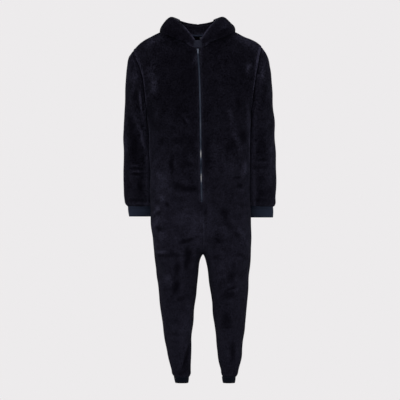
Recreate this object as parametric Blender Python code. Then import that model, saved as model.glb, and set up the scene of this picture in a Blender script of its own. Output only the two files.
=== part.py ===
"""Hooded one-piece pyjama in plush fleece, filled out as if worn, with nobody inside it.

Every cloth piece is a grid of points on its outer face, given a wall that points inwards.
Lengths are in millimetres until a mesh is made. +Z is up, -Y is the front, and left and right
are those of someone who looks at the front: left is -X. The origin is on the centre line at
the height where the shoulders carry the garment, 45 mm under the neck's side points.
"""

import math

import bmesh
import bpy
import numpy as np
from mathutils import Matrix, Vector, kdtree

MM = 0.001
SIDES = {"left": -1, "right": 1}

# Cloth and seams
PLUSH_WALL = 3.0
RIB_WALL = 2.4
SEAM_GAP = 0.3
SEAM_MATCH = 0.02

# Heights
UNDERARM_Z = -300
ZIP_END_Z = -676
RISE_START_Z = -760
CROTCH_Z = -902
ANKLE_Z = -1418
ANKLE_HEM_Z = -1443.5
WRIST_HEM_Z = {"left": -745, "right": -749}

# Neck: a curve round the seam, measured from the centre line
NECK_HALF_WIDTH = 98
NECK_SIDE_Z = 45
NECK_TOP_Z = 62
FRONT_NECK_DROP = 89
BACK_NECK_DROP = 27
SHOULDER_ROUNDING = 110

# Armhole
ARMHOLE_HALF_DEPTH = 54
ARMHOLE_STEPS = 10

# Columns across half a front or back, and how many of them end at the neck
PANEL_STEPS = 10
NECK_STEPS = 5
NECK_COLUMN_DX = (5, 20, 45, 70, 88, 98)

# Zip, measured out from its tape's front face. The fronts leave a slot that shows the chain.
SLOT_HALF = 5.0
CHAIN_HALF = 2.8
CHAIN_THICK = 2.0
TAPE_REACH = 14.0
TAPE_WALL = 0.9
STOP_HEIGHT = 3.2
SLIDER_Z = -51.5
SLIDER_LENGTH = 10.0
SLIDER_HALF = 4.4
SLIDER_PLATE = 1.5
SLIDER_FLANGE = 1.2
SLIDER_CLEARANCE = 0.35
BRIDGE_HALF = 0.7
BRIDGE_LENGTH = 6.0
BRIDGE_POST = 1.1
BRIDGE_HOLE = 1.9
BRIDGE_BAR = 0.8
BRIDGE_CHAMFER = 0.6
BRIDGE_SUNK = 0.4
TAB_HALF = 2.9
TAB_LENGTH = 17.0
TAB_THICK = 1.1
TAB_BAR = 1.2
TAB_EYE_HALF = 1.7
TAB_EYE_END = 4.0
TAB_SHOULDER = 2.0
TAB_CHAMFER = 1.0

# Trim inside the neck
GUARD_WALL = 2.0
GUARD_REACH = 0.15
GUARD_CLEARANCE = 0.6
GUARD_TOP_ROW = 18
NECK_TAPE_HALF = 5.0
NECK_TAPE_WALL = 0.8
NECK_TAPE_CLEARANCE = 0.4
LABEL_X = 4
LABEL_WIDTH = 10
LABEL_HEIGHT = 12
LABEL_THICK = 0.5
LABEL_CLEARANCE = 0.5

# How far down a cuff its middle ring lies, and the angle past which an edge looks sharp
CUFF_MIDDLE = 0.6
SHARP_ANGLE = 50

# Centre line, which leans a little: z, x
CENTRE_LINE = (
    (95, -9),
    (-46, -9),
    (-151, -3),
    (-298, 1),
    (-466, 3),
    (-676, 7),
    (-902, 13),
)
# Shoulder seam seen from the front: z, x
SHOULDER = {
    "left": ((27, -170), (10, -204), (-6, -234), (-23, -256), (-32, -265), (-48, -279)),
    "right": ((27, 152), (10, 184), (-6, 223), (-15, 239), (-23, 249), (-33, 258)),
}
# Armhole seam seen from the front: z, x
ARMHOLE = {
    "left": ((-48, -279), (-70, -275), (-113, -256), (-164, -240), (-231, -231), (-300, -224)),
    "right": ((-33, 258), (-60, 252), (-92, 246), (-151, 235), (-239, 222), (-300, 216)),
}
# Side seam seen from the front: z, left x, right x
SIDE_SEAM = (
    (-300, -224, 216),
    (-378, -218, 211),
    (-470, -211, 208),
    (-605, -208, 208),
    (-700, -209, 212),
    (-760, -207, 214),
    (-821, -199, 214),
    (-872, -194, 212),
    (-939, -186, 210),
    (-1006, -180, 206),
    (-1107, -168, 197),
    (-1174, -159, 192),
    (-1241, -148, 185),
    (-1308, -139, 177),
    (-1342, -133, 173),
    (-1376, -125, 165),
    (-1401, -118, 157),
    (-1418, -110, 150),
)
# Line of the inseam seen from the front, without the crotch's rounding: z, left x, right x
INSEAM = (
    (-902, 3, 22),
    (-972, -5, 32),
    (-1040, -13, 42),
    (-1107, -21, 50),
    (-1174, -29, 58),
    (-1241, -34, 67),
    (-1308, -38, 75),
    (-1376, -42, 84),
    (-1418, -46, 92),
)
CROTCH_ROUNDING = 12
# How far the front and the back stand from the seams' plane: z, front, back, plane's y
DEPTH = (
    (95, 62, 88, 0),
    (20, 66, 90, 0),
    (-40, 72, 96, 0),
    (-100, 94, 106, 0),
    (-200, 118, 117, 0),
    (-300, 127, 118, 0),
    (-450, 122, 108, 0),
    (-600, 125, 124, 0),
    (-700, 130, 140, 0),
    (-760, 129, 144, 0),
    (-850, 120, 134, 0),
    (-902, 108, 119, 0),
    (-972, 97, 104, 0),
    (-1107, 78, 80, -4),
    (-1174, 70, 69, -7),
    (-1241, 62, 64, -4),
    (-1308, 53, 58, 2),
    (-1376, 43, 46, 5),
    (-1418, 34, 35, 5),
)
# Rows of the fronts and backs below the underarm, to the crotch's curve and from it down
TORSO_ROWS = (-345, -395, -450, -505, -560, -618, -676, -692, -725, -760)
CROTCH_ROWS = (-786, -811, -836, -859, -879, -893, -902)
CROTCH_EASE = 0.35
LEG_ROWS = (-905, -914, -939, -972, -1040, -1107, -1174, -1241, -1308, -1350, -1385, -1405, -1418)
# Rings of the sleeves after the armhole. Each crosses the front view from an outer to an inner
# point: outer z, left x, right x; inner z, left x, right x; half depth; centre's y
SLEEVE_RINGS = (
    (-80, -298, 286, -304, -225, 217, 58, 0),
    (-120, -306, 293, -311, -225, 217, 62, 8),
    (-180, -312, 300, -326, -222, 215, 65, 20),
    (-250, -316, 307, -352, -217, 211, 66, 33),
    (-320, -319, 312, -396, -210, 206, 65, 44),
    (-400, -322, 316, -450, -205, 203, 63, 52),
    (-480, -323, 318, -506, -200, 199, 61, 56),
    (-560, -322, 321, -570, -198, 198, 59, 58),
    (-630, -321, 322, -634, -197, 200, 55, 60),
    (-663, -319, 318, -665, -198, 203, 49, 60),
    (-690, -313, 313, -690, -200, 207, 36, 60),
    (-703, -305, 309, -703, -203, 210, 25, 60),
)
BOW_FADE = (1.0, 0.55, 0.2)
# The wrist cuff's hem: left x outer, inner; right x outer, inner; half depth
WRIST_HEM = {"left": (-300, -205), "right": (309, 213)}
WRIST_HALF_DEPTH = 22
# The ankle cuff's hem: outer x, inner x; half depth
ANKLE_HEM = {"left": (-104, -49), "right": (147, 96)}
ANKLE_HALF_DEPTH = 29

# The hood lies down round the neck. Each section runs from the neck seam over its inner crest,
# down its slope to the bottom of the pouch, out to the bulge and up the outside to the fold and
# the rim. station counts neck columns from the front end to the centre back; then each point
# is its distance from the centre line, its y and its z.
HOOD_SECTIONS = (
    # station, crest, slope, bottom, bulge, outside, fold, rim
    (0.0, (20, -72, -34), (19, -73, -28), (19, -73, -23), (18, -74, -18), (16, -74, -13),
     (14, -73, -9), (12, -71, -6)),
    (1.6, (62, -66, -4), (68, -71, -8), (75, -75, -8), (80, -78, 0), (77, -75, 21),
     (66, -64, 42), (51, -56, 43)),
    (3.0, (97, -36, 42), (116, -44, 30), (133, -50, 19), (145, -50, 23), (141, -42, 52),
     (113, -28, 86), (82, -24, 74)),
    (4.0, (107, 0, 61), (127, 2, 53), (145, 4, 41), (157, 6, 38), (148, 8, 58),
     (113, 10, 93), (77, 14, 81)),
    (5.0, (101, 34, 65), (124, 52, 40), (142, 66, 12), (154, 76, 14), (145, 62, 57),
     (112, 40, 91), (76, 46, 80)),
    (6.6, (72, 66, 66), (94, 92, 4), (106, 110, -70), (120, 134, -70), (120, 138, 0),
     (96, 94, 82), (64, 84, 75)),
    (9.0, (0, 88, 56), (0, 108, -40), (0, 124, -126), (0, 148, -128), (0, 160, -40),
     (0, 132, 64), (0, 119, 62)),
)
HOOD_POINTS = 7
STEPS_BETWEEN_POINTS = 3
RIGHT_FOLD_SHIFT = -10

PLUSH_NAVY = (0.0085, 0.0090, 0.0150, 1)
WRIST_NAVY = (0.0130, 0.0165, 0.0260, 1)
ANKLE_NAVY = (0.0040, 0.0046, 0.0085, 1)
CUFF_NAVY = {"wrist": WRIST_NAVY, "ankle": ANKLE_NAVY}
TAPE_NAVY = (0.0150, 0.0180, 0.0280, 1)
CHAIN_GREY = (0.0450, 0.0480, 0.0620, 1)
SLIDER_GREY = (0.1300, 0.1450, 0.1700, 1)
LABEL_GREY = (0.0500, 0.0480, 0.0600, 1)


def through(rows, at, column=1):
    """Value at `at` of a smooth curve through a table whose first column falls or rises."""
    table = sorted(rows, key=lambda row: row[0])
    keys = np.array([row[0] for row in table], float)
    values = np.array([row[column] for row in table], float)
    slopes = np.gradient(values, keys, axis=0) if len(keys) > 1 else values * 0
    at = float(np.clip(at, keys[0], keys[-1]))
    i = int(np.clip(np.searchsorted(keys, at) - 1, 0, len(keys) - 2))
    span = keys[i + 1] - keys[i]
    t = (at - keys[i]) / span
    return (
        values[i] * (1 + 2 * t) * (1 - t) ** 2
        + values[i + 1] * t * t * (3 - 2 * t)
        + span * (slopes[i] * t * (1 - t) ** 2 - slopes[i + 1] * t * t * (1 - t))
    )


def centre_x(z):
    return through(CENTRE_LINE, z)


def seam_plane_y(z):
    return through(DEPTH, z, 3)


def depth(face, z):
    return through(DEPTH, z, 1 if face == "front" else 2)


def facing(face):
    return -1 if face == "front" else 1


def shoulder_point(side):
    """The outer end of the shoulder seam: its x and z."""
    z, x = ARMHOLE[side][0]
    return x, z


def shoulder_height(side, dx):
    """Height of the garment's top edge at a distance from the centre line."""
    if dx <= NECK_HALF_WIDTH:
        return NECK_TOP_Z - (NECK_TOP_Z - NECK_SIDE_Z) * (dx / NECK_HALF_WIDTH) ** 2
    rows = [(NECK_HALF_WIDTH, NECK_SIDE_Z)]
    rows += [(abs(x - centre_x(z)), z) for z, x in SHOULDER[side]]
    return through(rows, dx)


def neck_height(face, dx):
    drop = FRONT_NECK_DROP if face == "front" else BACK_NECK_DROP
    return NECK_SIDE_Z - drop * (1 - (dx / NECK_HALF_WIDTH) ** 2)


def armhole_rows(side):
    """For each armhole row: its angle, its z, its x and its half opening."""
    top = shoulder_point(side)[1]
    middle, reach = (top + UNDERARM_Z) / 2, (top - UNDERARM_Z) / 2
    rows = []
    for j in range(ARMHOLE_STEPS + 1):
        angle = math.pi * j / ARMHOLE_STEPS
        z = middle + reach * math.cos(angle)
        x = through(ARMHOLE[side], z)
        rows.append((angle, z, x, ARMHOLE_HALF_DEPTH * math.sin(angle)))
    return rows


def chest_point(side, face, dx, z, share, half_opening):
    """A point above the underarm: rounded over at the shoulder, open at the armhole."""
    above = (shoulder_height(side, dx) - z) / SHOULDER_ROUNDING
    rounding = math.sqrt(max(0.0, 1 - (1 - min(max(above, 0.0), 1.0)) ** 2))
    body = depth(face, z) * rounding
    out = math.sqrt(body**2 * (1 - share**2) + half_opening**2 * share**2)
    return (
        centre_x(z) + SIDES[side] * dx,
        seam_plane_y(z) + facing(face) * out,
        z,
    )


def slot_half(face, z):
    """Half the gap left for the zip on the fronts; the seam below it is closed."""
    return SLOT_HALF if face == "front" and z >= ZIP_END_Z - 1 else 0.0


def upper_rows(side, face):
    """Rows from the neck and shoulder seam down to the underarm."""
    s = SIDES[side]
    arm = armhole_rows(side)
    tip_x, tip_z = shoulder_point(side)
    tip_dx = abs(tip_x - centre_x(tip_z))
    under_dx = abs(arm[-1][2] - centre_x(UNDERARM_Z))
    grid = []
    for j, (_, z_row, x_edge, opening) in enumerate(arm):
        fall = (tip_z - z_row) / (tip_z - UNDERARM_Z)
        edge_dx = s * (x_edge - centre_x(z_row))
        bow = edge_dx - (tip_dx + (under_dx - tip_dx) * fall)
        row = []
        for i in range(PANEL_STEPS + 1):
            if i <= NECK_STEPS:
                top_dx = NECK_COLUMN_DX[i]
                if i == 0 and face == "back":
                    top_dx = 0.0
                top_z = neck_height(face, top_dx)
            else:
                along = (i - NECK_STEPS) / (PANEL_STEPS - NECK_STEPS)
                top_dx = NECK_HALF_WIDTH + (tip_dx - NECK_HALF_WIDTH) * along
                top_z = shoulder_height(side, top_dx)
            low_dx = under_dx * math.sin(math.pi / 2 * i / PANEL_STEPS)
            if i == 0:
                low_dx = slot_half(face, UNDERARM_Z)
            dx = top_dx + (low_dx - top_dx) * fall + bow * (i / PANEL_STEPS) ** 3
            z = top_z + (UNDERARM_Z - top_z) * fall
            row.append(chest_point(side, face, dx, z, dx / edge_dx, opening))
        grid.append(row)
    return grid


def inner_edge(side, z, turn):
    """The leg's form ends at one x and its seam at another: both of them at one height."""
    column = 1 if side == "left" else 2
    centre = centre_x(z)
    at_crotch = through(INSEAM, CROTCH_Z, column) - centre_x(CROTCH_Z)
    if z >= CROTCH_Z:
        return centre + at_crotch * math.sin(turn) ** 2, centre
    line = through(INSEAM, z, column)
    return line, line - at_crotch * math.exp((z - CROTCH_Z) / CROTCH_ROUNDING)


def crotch_turn(z):
    """How far the rows have turned at a height, from 0 at the rise to a right angle."""
    t = (RISE_START_Z - z) / (RISE_START_Z - CROTCH_Z)
    share = CROTCH_EASE * t * (1 - t) * (1 - 2 * t) + t * t * (3 - 2 * t)
    return math.asin(min(share, 1.0))


def lower_row(side, face, z, turn):
    """One row below the underarm. turn goes from 0 on the torso to a right angle on the leg."""
    s = SIDES[side]
    outer = through(SIDE_SEAM, z, 1 if side == "left" else 2)
    inner, seam = inner_edge(side, z, turn)
    half = abs(outer - inner) / (1 + math.sin(turn))
    middle = outer - s * half
    row = []
    for i in range(PANEL_STEPS + 1):
        angle = -turn + (math.pi / 2 + turn) * i / PANEL_STEPS
        inwards = (1 - math.sin(angle)) / (1 + math.sin(turn))
        x = middle + s * half * math.sin(angle) + (seam - inner) * inwards**3
        if i == 0:
            x += s * slot_half(face, z)
        y = seam_plane_y(z) + facing(face) * depth(face, z) * math.cos(angle)
        row.append((x, y, z))
    return row


def panel(side, face):
    """A front or back, from the shoulder to the ankle, as rows of points."""
    grid = upper_rows(side, face)
    for z in TORSO_ROWS:
        grid.append(lower_row(side, face, z, 0.0))
    for z in CROTCH_ROWS:
        grid.append(lower_row(side, face, z, crotch_turn(z)))
    for z in LEG_ROWS:
        grid.append(lower_row(side, face, z, math.pi / 2))
    return np.array(grid)


def sleeve(side):
    """Rings from the armhole to the wrist; each ring starts at its outer or upper point."""
    column = 1 if side == "left" else 2
    arm = armhole_rows(side)
    ring = [(x, -opening, z) for _, z, x, opening in arm]
    ring += [(x, opening, z) for _, z, x, opening in arm[-2:0:-1]]
    rings = [np.array(ring)]
    chord_top, chord_low = rings[0][0], rings[0][ARMHOLE_STEPS]
    angles = np.arange(2 * ARMHOLE_STEPS) * math.pi / ARMHOLE_STEPS
    chord = (chord_top + chord_low) / 2 + np.outer(np.cos(angles), chord_top - chord_low) / 2
    bow = rings[0][:, 0] - chord[:, 0]
    for k, row in enumerate(SLEEVE_RINGS):
        outer = np.array((row[column], row[7], row[0]), float)
        inner = np.array((row[3 + column], row[7], row[3]), float)
        points = (outer + inner) / 2 + np.outer(np.cos(angles), (outer - inner) / 2)
        points[:, 1] -= row[6] * np.sin(angles)
        if k + 1 < len(BOW_FADE):
            points[:, 0] += bow * BOW_FADE[k + 1]
        rings.append(points)
    return np.array(rings)


def oval(outer_x, inner_x, y, half_depth, z, count):
    """A level ring that starts at its outer point and goes round by the front."""
    angles = np.arange(count) * 2 * math.pi / count
    x = (outer_x + inner_x) / 2 + (outer_x - inner_x) / 2 * np.cos(angles)
    return np.stack([x, y - half_depth * np.sin(angles), np.full(count, float(z))], axis=1)


def cuff_rings(top, hem):
    return np.array([top, top + (hem - top) * CUFF_MIDDLE, hem])


def wrist_cuff(side, sleeve_grid):
    top = sleeve_grid[-1]
    outer, inner = WRIST_HEM[side]
    y = SLEEVE_RINGS[-1][7]
    hem = oval(outer, inner, y, WRIST_HALF_DEPTH, WRIST_HEM_Z[side], len(top))
    return cuff_rings(top, hem)


def ankle_cuff(side, front, back):
    top = np.concatenate([front[-1][::-1], back[-1][1:-1]])
    outer, inner = ANKLE_HEM[side]
    y = seam_plane_y(ANKLE_Z)
    hem = oval(outer, inner, y, ANKLE_HALF_DEPTH, ANKLE_HEM_Z, len(top))
    return cuff_rings(top, hem)


def hood_guide(point, axis):
    """A table of stations and one coordinate of one point, carried on past the centre back."""
    rows = [(row[0], row[1 + point][axis]) for row in HOOD_SECTIONS]
    last, before = HOOD_SECTIONS[-1][0], rows[-2]
    mirrored = -before[1] if axis == 0 else before[1]
    return rows + [(2 * last - before[0], mirrored)]


def hood(side, front, back):
    """Half the hood: columns from the front end round to the centre back, rows to the rim."""
    seam = list(front[0][1 : NECK_STEPS + 1]) + list(back[0][NECK_STEPS - 1 :: -1])
    columns = []
    for station, start in enumerate(seam):
        points = [start]
        for p in range(HOOD_POINTS):
            dx, y, z = (through(hood_guide(p, axis), station) for axis in range(3))
            if side == "right" and p >= HOOD_POINTS - 2:
                dx += RIGHT_FOLD_SHIFT * math.sin(math.pi * station / (len(seam) - 1))
            points.append((centre_x(z) + SIDES[side] * dx, y, z))
        points = np.array(points)
        steps = HOOD_POINTS * STEPS_BETWEEN_POINTS
        run = [(k, *point) for k, point in enumerate(points)]
        columns.append(
            [
                [through(run, n / STEPS_BETWEEN_POINTS, axis) for axis in (1, 2, 3)]
                for n in range(steps + 1)
            ]
        )
    grid = np.array(columns).transpose(1, 0, 2)
    grid[0] = seam
    return grid


def unit(vectors):
    return vectors / np.maximum(np.linalg.norm(vectors, axis=-1, keepdims=True), 1e-9)


class Cloth:
    """A named grid of points on a piece's outer face."""

    def __init__(self, name, family, points, outward, wall, ring=False, junctions=()):
        self.name = name
        self.family = family
        self.points = points
        self.wall = wall
        self.ring = ring
        self.junctions = junctions
        if ring:
            across = (np.roll(points, -1, axis=1) - np.roll(points, 1, axis=1)) / 2
        else:
            across = np.gradient(points, axis=1)
        down = np.gradient(points, axis=0)
        self.normals = unit(np.cross(across, down)) * outward

    def on_border(self, row, column):
        rows, columns = self.points.shape[:2]
        if row in (0, rows - 1):
            return True
        return not self.ring and column in (0, columns - 1)

    def ways_in(self, row, column):
        """Steps from a border point to its neighbours that lie away from the seam."""
        rows, columns = self.points.shape[:2]
        here = self.points[row, column]
        ways = []
        if row == 0 or (row, column) in self.junctions:
            ways.append(self.points[row + 1, column] - here)
        if row == rows - 1:
            ways.append(self.points[row - 1, column] - here)
        if not self.ring and column == 0:
            ways.append(self.points[row, 1] - here)
        if not self.ring and column == columns - 1:
            ways.append(self.points[row, columns - 2] - here)
        return ways


def join_seams(pieces):
    """Gives pieces that meet one shared direction for their walls, and parts them."""
    borders = []
    for piece in pieces:
        rows, columns = piece.points.shape[:2]
        for row in range(rows):
            for column in range(columns):
                if piece.on_border(row, column):
                    borders.append((piece, row, column))
    tree = kdtree.KDTree(len(borders))
    for index, (piece, row, column) in enumerate(borders):
        tree.insert(Vector(piece.points[row, column]), index)
    tree.balance()
    shared = []
    for piece, row, column in borders:
        near = tree.find_range(Vector(piece.points[row, column]), SEAM_MATCH)
        if len(near) < 2:
            continue
        families = {}
        for _, index, _ in near:
            other, r, c = borders[index]
            families.setdefault(other.family, []).append(other.normals[r, c])
        total = sum(unit(np.sum(normals, axis=0)) for normals in families.values())
        shared.append((piece, row, column, unit(total)))
    moves = []
    for piece, row, column, normal in shared:
        move = np.zeros(3)
        for way in piece.ways_in(row, column):
            move += unit(way - normal * np.dot(way, normal)) * SEAM_GAP / 2
        moves.append(move)
    for (piece, row, column, normal), move in zip(shared, moves):
        piece.normals[row, column] = normal
        piece.points[row, column] += move


def closed_wall(outer, inner, ring):
    """Vertices and faces of the solid between two grids of the same shape."""
    rows, columns = outer.shape[:2]
    count = rows * columns
    vertices = np.concatenate([outer.reshape(-1, 3), inner.reshape(-1, 3)])
    last = columns if ring else columns - 1

    def at(row, column):
        return row * columns + column % columns

    faces = []
    for row in range(rows - 1):
        for column in range(last):
            quad = (
                at(row, column),
                at(row + 1, column),
                at(row + 1, column + 1),
                at(row, column + 1),
            )
            faces.append(quad)
            faces.append(tuple(count + v for v in reversed(quad)))
    edges = [(at(0, c), at(0, c + 1)) for c in range(last)]
    edges += [(at(rows - 1, c + 1), at(rows - 1, c)) for c in range(last)]
    if not ring:
        edges += [(at(r + 1, 0), at(r, 0)) for r in range(rows - 1)]
        edges += [(at(r, columns - 1), at(r + 1, columns - 1)) for r in range(rows - 1)]
    faces += [(a, b, count + b, count + a) for a, b in edges]
    return vertices, faces


def material(name, colour, roughness=0.9, metallic=0.0):
    made = bpy.data.materials.new(name)
    made.use_nodes = True
    shader = made.node_tree.nodes["Principled BSDF"]
    shader.inputs["Base Color"].default_value = colour
    shader.inputs["Roughness"].default_value = roughness
    shader.inputs["Metallic"].default_value = metallic
    made.diffuse_color = colour
    return made


def add_object(name, vertices, faces, look, smooth=True):
    """Makes an object from millimetre points, with its faces turned outwards."""
    mesh = bpy.data.meshes.new(name)
    mesh.from_pydata((np.asarray(vertices) * MM).tolist(), [], faces)
    shape = bmesh.new()
    shape.from_mesh(mesh)
    bmesh.ops.triangulate(shape, faces=[f for f in shape.faces if len(f.verts) > 3])
    bmesh.ops.recalc_face_normals(shape, faces=shape.faces)
    shape.to_mesh(mesh)
    shape.free()
    mesh.materials.append(look)
    if smooth:
        mesh.shade_smooth()
        mesh.set_sharp_from_angle(angle=math.radians(SHARP_ANGLE))
    made = bpy.data.objects.new(name, mesh)
    bpy.context.scene.collection.objects.link(made)
    return made


def add_wall(name, outer, normals, wall, look, ring=False):
    vertices, faces = closed_wall(outer, outer - normals * wall, ring)
    return add_object(name, vertices, faces, look)


def cloth_pieces():
    """All the cut pieces, by name, with their seams joined."""
    crotch_row = ARMHOLE_STEPS + len(TORSO_ROWS) + len(CROTCH_ROWS)
    junctions = ((ARMHOLE_STEPS, PANEL_STEPS), (crotch_row, 0))
    pieces = {}
    for side, s in SIDES.items():
        grids = {face: panel(side, face) for face in ("front", "back")}
        for face, grid in grids.items():
            outward = s * facing(face)
            pieces[f"{face}_{side}"] = Cloth(
                f"{face}_{side}", "body", grid.copy(), outward, PLUSH_WALL, junctions=junctions
            )
        arm = sleeve(side)
        pieces[f"sleeve_{side}"] = Cloth(
            f"sleeve_{side}", "sleeve", arm.copy(), s, PLUSH_WALL, ring=True
        )
        pieces[f"wrist_cuff_{side}"] = Cloth(
            f"wrist_cuff_{side}", "cuff", wrist_cuff(side, arm), s, RIB_WALL, ring=True
        )
        pieces[f"ankle_cuff_{side}"] = Cloth(
            f"ankle_cuff_{side}",
            "cuff",
            ankle_cuff(side, grids["front"], grids["back"]),
            s,
            RIB_WALL,
            ring=True,
        )
        pieces[f"hood_{side}"] = Cloth(
            f"hood_{side}", "hood", hood(side, grids["front"], grids["back"]), s, PLUSH_WALL
        )
    join_seams(list(pieces.values()))
    return pieces


def inner_points(piece):
    return piece.points - piece.normals * piece.wall


def zip_rows():
    """How many rows the chain spans; the tapes go on for one more, behind the closed seam."""
    return ARMHOLE_STEPS + 1 + TORSO_ROWS.index(ZIP_END_Z) + 1


def tape_point(inner_row, dx):
    """A point behind a front's inner face, at a distance from the centre line."""
    edge, next_in = inner_row[0], inner_row[1]
    centre = centre_x(edge[2])
    edge_dx, next_dx = abs(edge[0] - centre), abs(next_in[0] - centre)
    point = edge + (next_in - edge) * (dx - edge_dx) / (next_dx - edge_dx)
    return point + np.array((0, SEAM_GAP, 0))


def add_zip(pieces):
    """Two tapes behind the fronts' edges, the closed chain between them and its bottom stop."""
    count = zip_rows()
    inner = {side: inner_points(pieces[f"front_{side}"])[: count + 1] for side in SIDES}
    forward = np.array((0.0, -1.0, 0.0))
    for side in SIDES:
        grid = np.array(
            [
                [tape_point(row, dx) for dx in (SEAM_GAP, CHAIN_HALF, TAPE_REACH)]
                for row in inner[side]
            ]
        )
        normals = np.broadcast_to(forward, grid.shape)
        look = material(f"zip_tape_{side}", TAPE_NAVY)
        add_wall(f"zip_tape_{side}", grid, normals, TAPE_WALL, look)
    rows = []
    for left, right in zip(inner["left"][:count], inner["right"][:count]):
        ends = [tape_point(row, CHAIN_HALF) for row in (left, right)]
        front = min(end[1] for end in ends) - SEAM_GAP - CHAIN_THICK
        rows.append([(end[0], front, end[2]) for end in ends])
    chain = np.array(rows)
    normals = np.broadcast_to(forward, chain.shape)
    look = material("zip_chain", CHAIN_GREY, 0.45, 0.3)
    add_wall("zip_chain", chain, normals, CHAIN_THICK, look)
    end = chain[-1] - np.array((0, 0, SEAM_GAP))
    stop = np.array([end, end - np.array((0, 0, STOP_HEIGHT))])
    normals = np.broadcast_to(forward, stop.shape)
    look = material("zip_bottom_stop", SLIDER_GREY, 0.4, 0.8)
    add_wall("zip_bottom_stop", stop, normals, CHAIN_THICK, look)
    return chain


def slider_frame(chain):
    """A matrix at the slider's middle on the chain's front: X across, Y up the chain, Z out."""
    middles = chain.mean(axis=1)
    k = int(np.argmax(middles[:, 2] < SLIDER_Z))
    upper, lower = middles[k - 1], middles[k]
    share = (upper[2] - SLIDER_Z) / (upper[2] - lower[2])
    origin = Vector((upper + (lower - upper) * share) * MM)
    up = Vector(upper - lower).normalized()
    across = Vector((1, 0, 0))
    out = across.cross(up).normalized()
    across = up.cross(out)
    turn = Matrix((across, up, out)).transposed()
    return Matrix.Translation(origin) @ turn.to_4x4()


def prism(name, outline, low, high, axis, look):
    """Extrudes an outline of (a, b) points along one axis, between low and high."""
    count = len(outline)
    order = {"x": (2, 0, 1), "y": (0, 2, 1), "z": (0, 1, 2)}[axis]
    ends = [[(a, b, end) for a, b in outline] for end in (low, high)]
    vertices = [[point[k] for k in order] for points in ends for point in points]
    faces = [tuple(range(count)), tuple(reversed(range(count, 2 * count)))]
    for k in range(count):
        n = (k + 1) % count
        faces.append((k, n, count + n, count + k))
    return add_object(name, vertices, faces, look, smooth=False)


def add_slider(frame):
    """The slider: a plate with two flanges round the chain, and a bridge for the tab's eye."""
    look = material("slider", SLIDER_GREY, 0.4, 0.8)
    half, reach = SLIDER_HALF, SLIDER_HALF - SLIDER_FLANGE
    face, top = SLIDER_CLEARANCE, SLIDER_CLEARANCE + SLIDER_PLATE
    foot = SEAM_GAP * 2 - CHAIN_THICK
    outline = [(-half, foot), (-reach, foot), (-reach, face), (reach, face), (reach, foot)]
    outline += [(half, foot), (half, top), (-half, top)]
    body = prism("slider", outline, -SLIDER_LENGTH / 2, SLIDER_LENGTH / 2, "y", look)
    end, post = BRIDGE_LENGTH / 2, BRIDGE_LENGTH / 2 - BRIDGE_POST
    foot, under = top - BRIDGE_SUNK, top + BRIDGE_HOLE
    crown, cut = under + BRIDGE_BAR, BRIDGE_CHAMFER
    outline = [(-end, foot), (-post, foot), (-post, under), (post, under), (post, foot)]
    outline += [(end, foot), (end, crown - cut), (end - cut, crown), (cut - end, crown)]
    outline += [(-end, crown - cut)]
    bridge = prism("bridge", outline, -BRIDGE_HALF, BRIDGE_HALF, "x", look)
    bridge.hide_render = True
    bridge.display_type = "WIRE"
    join = body.modifiers.new("bridge", "BOOLEAN")
    join.operation = "UNION"
    join.object = bridge
    body.matrix_world = frame
    bridge.matrix_world = frame


def add_pull_tab(frame):
    """The tab hangs from a bar that turns under the slider's bridge."""
    look = material("pull_tab", SLIDER_GREY, 0.4, 0.8)
    bar, width, low = TAB_BAR / 2, TAB_HALF, -TAB_LENGTH
    foot, corner = low + TAB_SHOULDER, width - TAB_CHAMFER
    outer = [(-width, bar), (width, bar), (width, foot), (corner, low), (-corner, low)]
    outer += [(-width, foot)]
    tab = prism("pull_tab", outer, -TAB_THICK / 2, TAB_THICK / 2, "z", look)
    eye_half, eye_end = TAB_EYE_HALF, -TAB_EYE_END
    eye = [(-eye_half, -bar), (eye_half, -bar), (eye_half, eye_end), (-eye_half, eye_end)]
    cutter = prism("eye_cutter", eye, -TAB_THICK, TAB_THICK, "z", look)
    cutter.hide_render = True
    cutter.display_type = "WIRE"
    cut = tab.modifiers.new("eye", "BOOLEAN")
    cut.operation = "DIFFERENCE"
    cut.object = cutter
    axis_out = SLIDER_CLEARANCE + SLIDER_PLATE + BRIDGE_HOLE / 2
    at_bar = frame @ Matrix.Translation((0, 0, axis_out * MM))
    tab.matrix_world = at_bar
    cutter.matrix_world = at_bar


def add_guard(pieces):
    """The plain patch behind the hood's front ends, over the top of the zip."""
    ends = {side: inner_points(pieces[f"hood_{side}"])[: GUARD_TOP_ROW + 1] for side in SIDES}
    back = np.array((0.0, GUARD_CLEARANCE, 0.0))
    rows = []
    for left, right in zip(ends["left"], ends["right"]):
        far_left = left[0] + (left[1] - left[0]) * GUARD_REACH
        far_right = right[0] + (right[1] - right[0]) * GUARD_REACH
        rows.append([far_left, left[0], (left[0] + right[0]) / 2, right[0], far_right])
    grid = np.array(rows)[::-1] + back
    normals = np.broadcast_to(np.array((0.0, -1.0, 0.0)), grid.shape)
    add_wall("zip_guard", grid, normals, GUARD_WALL, material("zip_guard", TAPE_NAVY))


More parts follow.
